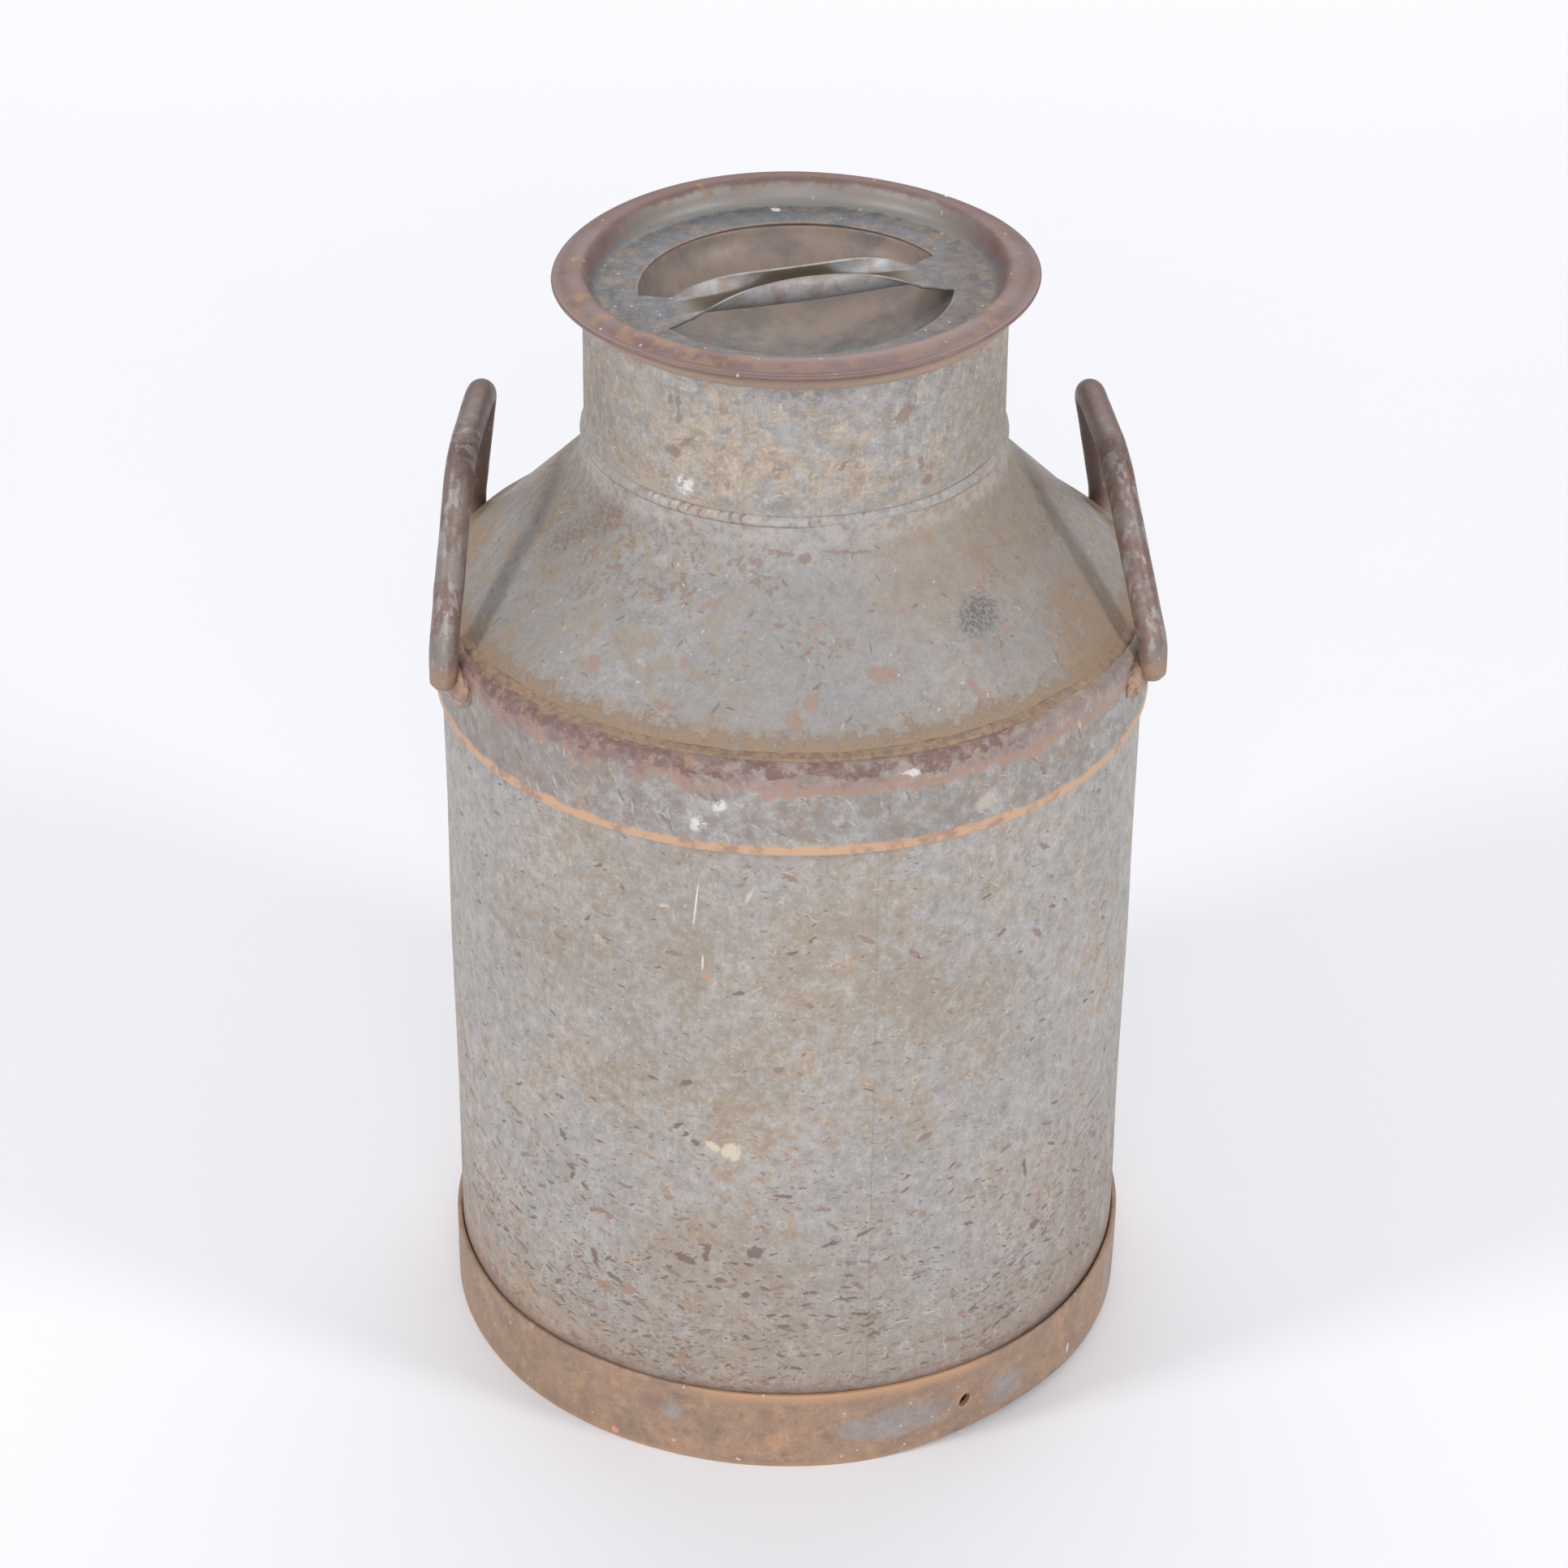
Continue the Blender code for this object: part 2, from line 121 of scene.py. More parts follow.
def arc(radius, height, bend, start, end, steps):
    """Points on an arc in the (radius, height) plane, its angles in degrees from +radius."""
    angles = [math.radians(start + (end - start) * i / steps) for i in range(steps + 1)]
    return [(radius + bend * math.cos(a), height + bend * math.sin(a)) for a in angles]


def millimetres(*points):
    """Points that are written in mm, in metres."""
    return [(radius * MM, height * MM) for radius, height in points]


def fine(points, spacing=ROW, edge=0.6 * MM):
    """The profile with its long steps divided, and with a short step kept at either end."""
    points = list(points)
    for end, beside, place in ((0, 1, 1), (-1, -2, -1)):
        (r0, z0), (r1, z1) = points[end], points[beside]
        share = edge / math.hypot(r1 - r0, z1 - z0)
        if share < 1 / 3 and r0 > 0:
            points.insert(place, (r0 + (r1 - r0) * share, z0 + (z1 - z0) * share))
    made = [points[0]]
    for (r0, z0), (r1, z1) in zip(points, points[1:]):
        parts = max(1, math.ceil(math.hypot(r1 - r0, z1 - z0) / spacing))
        for i in range(1, parts + 1):
            made.append((r0 + (r1 - r0) * i / parts, z0 + (z1 - z0) * i / parts))
    return made


def add_mesh(name, points, faces):
    mesh = bpy.data.meshes.new(name)
    mesh.from_pydata(points, [], faces)
    mesh.shade_smooth()
    made = bpy.data.objects.new(name, mesh)
    bpy.context.scene.collection.objects.link(made)
    return made


def turned(name, profile, shape=None, closed=False, azimuths=EVEN):
    """Turns a (radius, height) profile, run down its outer side, once round the can.

    shape(azimuth, radius, height) gives each point's own radius and height.
    """
    points, grid, poles = [], [], {}
    for azimuth in azimuths:
        ring = []
        for j, (radius, height) in enumerate(profile):
            if j in poles:
                ring.append(poles[j])
                continue
            if radius == 0:
                poles[j] = len(points)
            if shape:
                radius, height = shape(azimuth, radius, height)
            ring.append(len(points))
            points.append((radius * math.sin(azimuth), -radius * math.cos(azimuth), height))
        grid.append(ring)
    rows = len(profile)
    faces = []
    for i, here in enumerate(grid):
        there = grid[(i + 1) % len(grid)]
        for j in range(rows if closed else rows - 1):
            k = (j + 1) % rows
            faces.append(tuple(dict.fromkeys((here[j], here[k], there[k], there[j]))))
    return add_mesh(name, points, faces)


def thicken(piece, thickness, offset=-1, even=True):
    """Gives a sheet its thickness: offset -1 keeps the drawn side as the outer face."""
    sheet = piece.modifiers.new("Sheet", "SOLIDIFY")
    sheet.thickness = thickness
    sheet.offset = offset
    sheet.use_even_offset = even
    return piece


def swept(name, path, ring_at, sides=28):
    """A solid bar along the path; ring_at(share) gives its half sizes across and along."""
    points, faces = [], []
    normal = None
    for i, here in enumerate(path):
        ahead = path[min(i + 1, len(path) - 1)] - path[max(i - 1, 0)]
        ahead.normalize()
        if normal is None:
            normal = ahead.cross(Vector((0, 0, 1)))
            if normal.length < 0.1:
                normal = ahead.cross(Vector((0, 1, 0)))
        normal = (normal - ahead * normal.dot(ahead)).normalized()
        side = ahead.cross(normal)
        across, along = ring_at(i / (len(path) - 1))
        for k in range(sides):
            angle = math.tau * k / sides
            offset = normal * math.cos(angle) * across + side * math.sin(angle) * along
            points.append(here + offset)
    for i in range(len(path) - 1):
        for k in range(sides):
            a, b = i * sides + k, i * sides + (k + 1) % sides
            faces.append((a, b, b + sides, a + sides))
    faces.append(tuple(reversed(range(sides))))
    faces.append(tuple(range(len(points) - sides, len(points))))
    return add_mesh(name, points, faces)


def dented(depth, size, seed=0.0):
    """A shape for turned() that pushes a wall in and out by up to the depth."""

    def shape(azimuth, radius, height):
        around = Vector((math.sin(azimuth), -math.cos(azimuth), 0)) * radius
        spot = (around + Vector((0, 0, height))) / size + Vector((seed, seed, seed))
        return radius + depth * noise.noise(spot), height

    return shape


def smooth_between(value, start, end):
    """0 before the start, 1 after the end and a smooth rise between them."""
    share = min(1.0, max(0.0, (value - start) / (end - start)))
    return share * share * (3 - 2 * share)


def around_value(azimuth, stops):
    """A value that runs smoothly through (degrees, value) stops round the can."""
    degrees = (math.degrees(azimuth) + 180) % 360 - 180
    for (start, low), (end, high) in zip(stops, stops[1:]):
        if degrees <= end:
            return low + (high - low) * smooth_between(degrees, start, end)
    return stops[-1][1]


# ---------------------------------------------------------------- materials


class Finish:
    """Builds one material from short calls. Sizes of patterns and heights of bumps are in mm."""

    def __init__(self, name, metallic, roughness):
        self.material = bpy.data.materials.new(name)
        self.material.use_nodes = True
        self.nodes = self.material.node_tree.nodes
        self.links = self.material.node_tree.links
        self.surface = self.nodes["Principled BSDF"]
        self.surface.inputs["Metallic"].default_value = metallic
        self.place = self.nodes.new("ShaderNodeTexCoord").outputs["Object"]
        self.right = self.along(self.place, (1, 0, 0))
        self.forward = self.along(self.place, (0, -1, 0))
        self.up = self.along(self.place, (0, 0, 1))
        self.colour = None
        self.roughness = roughness
        self.height = 0.0
        self.drift = self.wander(3.5, 5.5, 40)

    def feed(self, socket, value):
        if isinstance(value, bpy.types.NodeSocket):
            self.links.new(value, socket)
        elif socket.type == "RGBA" and len(value) == 3:
            socket.default_value = (*value, 1.0)
        else:
            socket.default_value = value

    def node(self, kind, *values, **settings):
        """Adds a node and feeds its inputs in order; None leaves an input alone."""
        node = self.nodes.new("ShaderNode" + kind)
        for name, value in settings.items():
            setattr(node, name, value)
        for socket, value in zip(node.inputs, values):
            if value is not None:
                self.feed(socket, value)
        return node

    def math(self, operation, *values):
        return self.node("Math", *values, operation=operation).outputs[0]

    def times(self, *values):
        product = values[0]
        for value in values[1:]:
            product = self.math("MULTIPLY", product, value)
        return product

    def most(self, *values):
        largest = values[0]
        for value in values[1:]:
            largest = self.math("MAXIMUM", largest, value)
        return largest

    def along(self, vector, axis):
        return self.vector("DOT_PRODUCT", vector, axis)

    def vector(self, operation, first, second=None):
        node = self.nodes.new("ShaderNodeVectorMath")
        node.operation = operation
        self.feed(node.inputs[0], first)
        if operation == "SCALE":
            self.feed(node.inputs["Scale"], second)
        elif second is not None:
            self.feed(node.inputs[1], second)
        return node.outputs["Value" if operation in ("LENGTH", "DOT_PRODUCT") else "Vector"]

    def step(self, value, start, end, low=0.0, high=1.0):
        """Runs smoothly from low at the start to high at the end; the start may be larger."""
        values = (value, start, end, low, high)
        return self.node("MapRange", *values, interpolation_type="SMOOTHSTEP").outputs[0]

    def clouds(self, size, detail, roughness, seed, start, end, low=0.0, high=1.0):
        """Blotches of about the size, where a noise passes from the start to the end."""
        return self.step(self.noise(size, detail, roughness, seed), start, end, low, high)

    def above(self, start, end, low=0.0, high=1.0):
        """Runs from low to high between two heights, in mm."""
        return self.step(self.up, start * MM, end * MM, low, high)

    def band(self, value, start, end, soft):
        """1 between the start and the end, fading out over the soft width on both sides."""
        rising = self.step(value, start - soft, start)
        return self.times(rising, self.step(value, end + soft, end))

    def mix(self, factor, first, second, clamp=True):
        node = self.node("Mix", data_type="RGBA", clamp_factor=clamp)
        for place, value in ((0, factor), (6, first), (7, second)):
            self.feed(node.inputs[place], value)
        return node.outputs[2]

    def noise(self, size, detail=5, roughness=0.6, seed=0, place=None, output="Fac"):
        place = self.vector("ADD", place or self.place, (seed, seed * 2, seed * 3))
        values = (place, None, 1 / (size * MM), detail, roughness)
        return self.node("TexNoise", *values).outputs[output]

    def wander(self, size, reach, seed):
        """Two offsets that drift to and fro by up to half the reach."""
        split = self.node("SeparateColor", self.noise(size, 3, 0.6, seed, output="Color"))
        reach *= MM
        return [self.math("MULTIPLY_ADD", n, reach, -reach / 2) for n in split.outputs[:2]]

    def azimuth(self):
        """Radians round from the front, positive to the right."""
        return self.math("ARCTAN2", self.right, self.forward)

    def unrolled(self, radius, ragged=0.0):
        """The wall laid flat: distance round from the front, then height."""
        drift = self.wander(4, ragged, 70) if ragged else (0.0, 0.0)
        around = self.math("MULTIPLY_ADD", self.azimuth(), radius, drift[0])
        return self.node("CombineXYZ", around, self.math("ADD", self.up, drift[1])).outputs[0]

    def cells(self, flat, size, seed):
        """Scattered points: the offset from the nearest one, and three numbers of its own."""
        moved = self.vector("ADD", flat, (seed * 1.37, seed * 2.11, 0))
        scale = 1 / (size * MM)
        node = self.node("TexVoronoi", moved, None, scale, voronoi_dimensions="2D")
        offset = self.vector("SUBTRACT", moved, node.outputs["Position"])
        own = self.node("SeparateColor", node.outputs["Color"]).outputs
        return offset, own[0], own[1], own[2]

    def strokes(self, flat, cell, length, width, lean, spread, share, seed):
        """Short strokes, at most one in a cell; they lean by lean, give or take the spread."""
        offset, first, second, third = self.cells(flat, cell, seed)
        turn = self.math("MULTIPLY_ADD", first, 2 * spread, lean - spread)
        cos, sin = self.math("COSINE", turn), self.math("SINE", turn)
        x, y = self.along(offset, (1, 0, 0)), self.along(offset, (0, 1, 0))
        ahead = self.math("ADD", self.times(x, cos), self.times(y, sin))
        aside = self.math("SUBTRACT", self.times(y, cos), self.times(x, sin))
        ahead = self.times(ahead, 2 / (length * MM))
        aside = self.times(aside, 2 / (width * MM))
        squared = self.math("MULTIPLY_ADD", ahead, ahead, self.times(aside, aside))
        reach = self.math("SQRT", squared)
        limit = self.math("MULTIPLY_ADD", third, 0.7, 0.4)
        shape = self.step(self.math("DIVIDE", reach, limit), 1.0, 0.6)
        return self.times(shape, self.math("LESS_THAN", second, share))

    def spots(self, flat, cell, size, share, seed, ring=False):
        """Round spots, or small rings, at most one in a cell."""
        offset, first, second, third = self.cells(flat, cell, seed)
        reach = self.math("DIVIDE", self.vector("LENGTH", offset), size * MM / 2)
        reach = self.math("DIVIDE", reach, self.math("MULTIPLY_ADD", third, 0.7, 0.45))
        shape = self.step(reach, 1.0, 0.5)
        if ring:
            shape = self.times(shape, self.step(reach, 0.35, 0.6), 2.0)
        return self.times(shape, self.math("LESS_THAN", second, share))

    def marks(self, places, radius, soft=0.65, ragged=True):
        """One mask for (azimuth, height, length, width, tilt) marks: degrees and mm."""
        around = self.times(self.azimuth(), radius)
        flat = [(math.radians(place[0]) * radius / MM, *place[1:]) for place in places]
        return self.patches(flat, around, self.up, soft, ragged)

    def patches(self, places, across, up, soft=0.65, ragged=True):
        """One mask for (across, up, length, width, tilt) ellipses, in mm and degrees."""
        if ragged:
            across = self.math("ADD", across, self.drift[0])
            up = self.math("ADD", up, self.drift[1])
        nearest = 10.0
        for x, y, length, width, tilt in places:
            cos, sin = math.cos(math.radians(tilt)), math.sin(math.radians(tilt))
            reach = 0.0
            for to_x, to_y, size in ((cos, sin, length), (-sin, cos, width)):
                unit = size / 2 * MM
                start = -(x * to_x + y * to_y) * MM / unit
                part = self.math("MULTIPLY_ADD", across, to_x / unit, start)
                part = self.math("MULTIPLY_ADD", up, to_y / unit, part)
                reach = self.math("MULTIPLY_ADD", part, part, reach)
            nearest = self.math("MINIMUM", nearest, reach)
        return self.step(nearest, 1.0, soft**2)

    def paint(self, mask, colour, amount=1.0, roughness=None, height=0.0):
        """Lays a colour over what is there so far, as strongly as the mask says."""
        factor = self.times(mask, amount) if amount != 1.0 else mask
        self.colour = self.mix(factor, self.colour, colour)
        if roughness is not None:
            lifted = self.math("SUBTRACT", roughness, self.roughness)
            self.roughness = self.math("MULTIPLY_ADD", factor, lifted, self.roughness)
        if height:
            self.height = self.math("MULTIPLY_ADD", factor, height, self.height)

    def blotch(self, size, detail, roughness, seed, start, end, *paint):
        """Paints the blotches of a noise: its clouds() and then what paint() takes."""
        self.paint(self.clouds(size, detail, roughness, seed, start, end), *paint)

    def shade(self, *changes):
        """Makes the colour lighter and darker by (noise, strength) pairs."""
        total = 1.0
        for pattern, strength in changes:
            centred = self.math("SUBTRACT", pattern, 0.5)
            total = self.math("MULTIPLY_ADD", centred, strength, total)
        darker = self.math("SUBTRACT", 1.0, total)
        self.colour = self.mix(darker, self.colour, (0, 0, 0), clamp=False)

    def finished(self):
        self.feed(self.surface.inputs["Base Color"], self.colour)
        self.feed(self.surface.inputs["Roughness"], self.roughness)
        bump = self.nodes.new("ShaderNodeBump")
        bump.inputs["Strength"].default_value = 1.0
        bump.inputs["Distance"].default_value = MM
        self.feed(bump.inputs["Height"], self.height)
        self.links.new(bump.outputs[0], self.surface.inputs["Normal"])
        return self.material


def zinc(name, cool=ZINC_COOL, warm=ZINC_WARM, warmth=0.5, mottle=1.0, seed=0):
    """Worn galvanised steel: cool zinc with warm stains, a fine grain and bright flecks."""
    coat = Finish(name, metallic=0.2, roughness=0.55)
    grain = coat.noise(7, 6, 0.74, seed + 1)
    stain = coat.noise(9, 7, 0.72, seed + 2)
    broad = coat.noise(70, 3, 0.5, seed + 3)
    speck = coat.noise(1.7, 3, 0.7, seed + 4)
    brushed = coat.noise(3, 4, 0.6, seed + 5, coat.vector("MULTIPLY", coat.place, (1.6, 1.6, 0.3)))
    stain = coat.math("MULTIPLY_ADD", coat.math("SUBTRACT", broad, 0.5), 0.6, stain)
    low = 0.66 - 0.24 * warmth
    coat.colour = coat.mix(coat.step(stain, low, low + 0.17), cool, warm)
    coat.paint(coat.step(speck, 0.6, 0.72), CREAM, 0.5 * mottle, roughness=0.42)
    coat.paint(coat.step(speck, 0.4, 0.3), DARK_BROWN, 0.3 * mottle)
    coat.shade((grain, 1.15 * mottle), (speck, 0.3 * mottle), (broad, 0.35), (brushed, 0.35))
    coat.roughness = coat.step(grain, 0.32, 0.68, 0.64, 0.44)
    coat.height = coat.times(coat.math("MULTIPLY_ADD", speck, 0.5, grain), 0.14)
    return coat


def barrel_finish():
    """The barrel: cool zinc, stained ochre above and brown below, with knocks near its foot."""
    coat = zinc("aged_zinc_barrel", warmth=0.55)
    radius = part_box("barrel")[1].x
    flat = coat.unrolled(radius, ragged=3)
    smooth_flat = coat.unrolled(radius)
    low = coat.above(215, 70)
    lowest = coat.above(120, 50)
    right = coat.step(coat.azimuth(), 0.3, 1.2)
    patchy = coat.noise(42, 3, 0.5, 10)
    # ochre stains in the upper half, most of them left of the middle
    level = coat.band(coat.up, 245 * MM, 345 * MM, 60 * MM)
    around = coat.band(coat.azimuth(), -0.55, 0.35, 0.5)
    patchy = coat.math("MULTIPLY_ADD", patchy, 0.45, 0.27)
    level = coat.math("MULTIPLY_ADD", coat.times(level, around), 0.10, patchy)
    stains = coat.math("ADD", coat.noise(6, 7, 0.78, 13), level)
    coat.paint(coat.step(stains, 0.94, 1.14), OCHRE, 0.36, 0.65)
    coat.paint(coat.step(stains, 1.06, 1.2), (0.33, 0.25, 0.175), 0.4, 0.75)
    coat.blotch(5, 5, 0.75, 15, 0.57, 0.68, CREAM, 0.4)
    # the foot is brown all round, darkest in the middle and at the right
    middle = coat.marks([(-9, 117, 140, 100, 0), (4, 75, 130, 60, 0)], radius, soft=0.15)
    cloud = coat.clouds(15, 7, 0.72, 11, 0.36, 0.6)
    grimy = coat.times(coat.most(lowest, middle), coat.step(cloud, 0, 1, 0.35, 1))
    coat.paint(grimy, (0.36, 0.285, 0.215), 0.6, 0.7)
    coat.paint(coat.times(low, right, cloud), (0.31, 0.25, 0.215), 0.6)
    mud = coat.clouds(6, 6, 0.75, 12, 0.55, 0.66)
    coat.paint(coat.times(mud, low), BROWN, 0.6, 0.75)
    # knocks and scrapes, thicker and thicker towards the foot
    share = coat.math("MULTIPLY_ADD", low, 0.36, 0.05)
    share = coat.math("MULTIPLY_ADD", lowest, 0.12, share)
    crowd = coat.clouds(34, 4, 0.6, 16, 0.42, 0.58, 0.3, 1.3)
    share = coat.times(share, crowd)
    layers = [
        (12, 13, 3.6, -0.15, 0.7, 0.8, BROWN),
        (8, 8, 2.4, 0.1, 0.7, 0.8, DARK_BROWN),
        (5, 5.5, 1.5, 0.0, 0.6, 0.7, BROWN),
        (3.4, 3.4, 1.1, 0.0, 0.8, 0.7, DARK_BROWN),
    ]
    for i, (cell, length, width, lean, spread, amount, colour) in enumerate(layers):
        dashes = coat.strokes(flat, cell, length, width, lean, spread, share, i + 1)
        coat.paint(dashes, colour, amount, roughness=0.65, height=-0.12)
    pale = [(13, 9, 0.9, 0.3, 1.5, 0.2), (7, 4, 1.1, -0.4, 1.5, 0.14), (4, 2, 1.0, 0, 1.5, 0.12)]
    for i, (cell, length, width, lean, spread, some) in enumerate(pale):
        scuffs = coat.strokes(flat, cell, length, width, lean, spread, some, i + 6)
        coat.paint(scuffs, CREAM, 0.55, 0.45, 0.05)
    coat.paint(coat.spots(flat, 38, 6, 0.2, 6, ring=True), CREAM, 0.3)
    coat.paint(coat.spots(flat, 12, 4.4, coat.times(low, 0.4), 7), RUST, 0.8, 0.8, 0.06)
    # a stained fringe just above the foot hoop, most of it on the left
    left = coat.step(coat.azimuth(), -0.25, -0.9)
    fringe = coat.above(82, 48)
    ragged = coat.clouds(5, 4, 0.7, 14, 0.4, 0.6)
    coat.paint(coat.times(fringe, left, ragged), ORANGE, 0.5, 0.8)
    edge = coat.step(coat.math("MULTIPLY_ADD", ragged, 5 * MM, coat.up), 57 * MM, 47 * MM)
    coat.paint(edge, BROWN, 0.65, 0.8)
    # the marks that stand out most
    dark = [
        (-16.3, 229.5, 7, 4.5, 35), (-17.8, 203.5, 8, 3, 30), (-16.6, 199, 6, 2.4, 55),
        (-14.9, 195, 5, 5.5, 50), (-37.8, 152, 7, 3.5, 65), (-35.2, 149, 6, 3.5, -40),
        (-39.6, 175, 9, 3, -60), (-16.5, 123, 12, 6.5, -15), (-13, 129, 4, 14, -8),
        (-5.1, 132.5, 10, 9, 20), (-10.9, 113.4, 7, 4, 0), (-0.6, 167.5, 10, 3.2, -3),
        (-33.5, 107, 4, 12, 14), (-29.8, 99, 13, 3, -14), (13, 143, 13, 3, 28),
        (7.3, 138, 12, 3, 20), (10.3, 103, 17, 2.2, -2), (12.5, 92.5, 10, 2.4, -3),
        (46, 112, 9, 7, 20), (43, 152, 4, 12, 10), (-6.5, 106, 5, 5, 0),
    ]
    coat.paint(coat.marks(dark, radius), DARK_BROWN, 0.85, 0.6, -0.15)
    reds = [(-31.2, 91.5, 6, 8, 0), (-27.2, 94.5, 8, 7, 15), (-17.4, 60, 6, 13, -5)]
    coat.paint(coat.marks(reds, radius), RUST, 0.8, 0.8, 0.1)
    black = [(-30.6, 159, 13, 1.4, 28), (-24.9, 106, 5, 6, 60), (-18.5, 97, 7, 1.4, -30)]
    cracks = coat.strokes(flat, 3, 4, 0.9, 0.4, 0.9, 0.75, 8)
    coat.paint(coat.times(coat.marks(black, radius, 0.3), cracks), SOOT, 0.9)
    chip = coat.marks([(-8.9, 192, 12, 12, 0), (-12, 194, 10, 5, -35)], radius)
    hairs = coat.strokes(smooth_flat, 3.5, 5, 0.5, 1.0, 0.8, 0.8, 9)
    chip = coat.times(chip, coat.step(hairs, 1.0, 0.0, 0.25, 1.0))
    coat.paint(chip, (0.72, 0.62, 0.47), 0.9, 0.5, 0.15)
    lines = [(-14.65, 331.5, 1.2, 33, -6), (-13.6, 299.5, 1.3, 11, -3)]
    coat.paint(coat.marks(lines, radius, 0.3, ragged=False), WHITE, 0.75)
    coat.paint(coat.marks([(-13.2, 292.5, 5, 4, 0)], radius), ORANGE, 0.9)
    scrapes = [
        (19.5, 83.5, 11, 1.6, 4), (24.5, 85, 9, 1.4, 10), (16.8, 66, 0.9, 12, 2),
        (-6.2, 339.5, 1.6, 13, -25), (-20, 327.5, 9, 1.8, -10), (27.5, 62, 1, 14, 0),
    ]
    coat.paint(coat.marks(scrapes, radius, 0.4), CREAM, 0.85, height=0.06)
    return coat.finished()


def cone_finish():
    """The shoulder: slate grey zinc with rust spots, tan sides darkened by painted shade, and dirt
    along its foot.
    """
    coat = zinc(
        "aged_zinc_shoulder",
        cool=(0.345, 0.33, 0.325),
        warm=(0.345, 0.275, 0.22),
        warmth=0.3,
        mottle=0.6,
        seed=20,
    )
    flat = coat.unrolled(135 * MM, ragged=2)
    azimuth = coat.azimuth()
    warm = coat.clouds(10, 7, 0.74, 31, 0.46, 0.62)
    left = coat.band(azimuth, -1.9, -0.35, 0.5)
    right = coat.band(azimuth, 0.5, 1.6, 0.35)
    high = coat.above(440, 466)
    coat.paint(coat.times(warm, left), OCHRE, 0.6, 0.7)
    tan = coat.times(right, coat.step(high, 0, 1, 0.35, 1), coat.step(warm, 0, 1, 0.55, 1))
    coat.paint(tan, TAN, 0.75, 0.75)
    # the sides are painted a darker warm brown: partly stain, partly painted shade where the
    # shoulder turns away from the light
    sides = coat.step(coat.math("ABSOLUTE", azimuth), 0.6, 1.1)
    sides = coat.times(sides, coat.step(warm, 0, 1, 0.55, 1))
    coat.paint(coat.times(sides, coat.step(high, 0, 1, 0.4, 1)), (0.30, 0.225, 0.165), 0.45)
    # rust spots in clusters, most of them at the upper left
    cluster = coat.noise(26, 3, 0.5, 34)
    cluster = coat.math("MULTIPLY_ADD", coat.times(left, high), 0.12, cluster)
    grit = coat.math("MULTIPLY_ADD", cluster, 0.55, coat.noise(3.6, 4, 0.65, 35))
    coat.paint(coat.step(grit, 0.9, 0.95), BROWN, 0.7, 0.75, 0.04)
    coat.paint(coat.spots(flat, 17, 6, 0.22, 2), RUST, 0.5, 0.75, 0.05)
    coat.paint(coat.strokes(flat, 11, 6, 1.3, 0.2, 1.2, 0.3, 3), DARK_BROWN, 0.6, height=-0.06)
    coat.paint(coat.strokes(flat, 7, 2.2, 1.0, 0.6, 1.5, 0.2, 4), CREAM, 0.75)
    # dirt lies along the foot of the cone, widest at the two handles
    ragged = coat.noise(6, 6, 0.75, 32)
    lift = coat.times(coat.math("SUBTRACT", ragged, 0.5), 26 * MM)
    level = coat.math("ADD", coat.up, lift)
    coat.paint(coat.step(level, 427 * MM, 415 * MM), (0.35, 0.25, 0.17), 0.45, 0.8)
    crust = coat.times(coat.step(level, 420 * MM, 416 * MM), coat.step(ragged, 0.66, 0.5, 0.35, 1))
    coat.paint(crust, DIRT, 0.72, 0.85, height=0.25)
    heap = coat.marks([(66, 428, 96, 46, 10), (-95, 424, 80, 30, 0)], 155 * MM, 0.1)
    coat.paint(coat.times(heap, coat.step(ragged, 0.38, 0.52)), DIRT, 0.75, 0.85, height=0.2)
    # a scorched patch at the front right and a rusty one at the upper left
    soot = coat.clouds(1.7, 3, 0.65, 33, 0.42, 0.56)
    patch = coat.marks([(41, 449, 32, 18, 8)], 131 * MM, 0.1)
    coat.paint(patch, (0.27, 0.265, 0.265), 0.45)
    coat.paint(coat.times(patch, soot), (0.11, 0.105, 0.105), 0.7, 0.7)
    patch = coat.marks([(-56, 477, 36, 22, 25), (-64, 462, 34, 18, 40)], 108 * MM, 0.1)
    coat.paint(coat.times(patch, soot), DARK_BROWN, 0.6)
    streaks = [(-3.5, 482, 16, 2.6, -10), (3, 479.5, 7, 5, 0), (14, 481.5, 26, 1.8, -8)]
    coat.paint(coat.marks(streaks, 98 * MM), BROWN, 0.75, 0.8)
    rusty = [
        (17, 438, 17, 6, 0), (3.5, 430.5, 8, 8, 20), (0.5, 425, 8, 7, 0), (-38, 431, 10, 8, -35),
        (33, 427, 6, 8, 0), (-18, 461, 18, 4, 22), (-22, 425, 7, 5, 0),
    ]
    coat.paint(coat.marks(rusty, 145 * MM), RUST, 0.6, 0.8)
    collar = coat.times(coat.above(480, 488), coat.step(ragged, 0.35, 0.6))
    coat.paint(collar, (0.55, 0.50, 0.46), 0.6)
    return coat.finished()


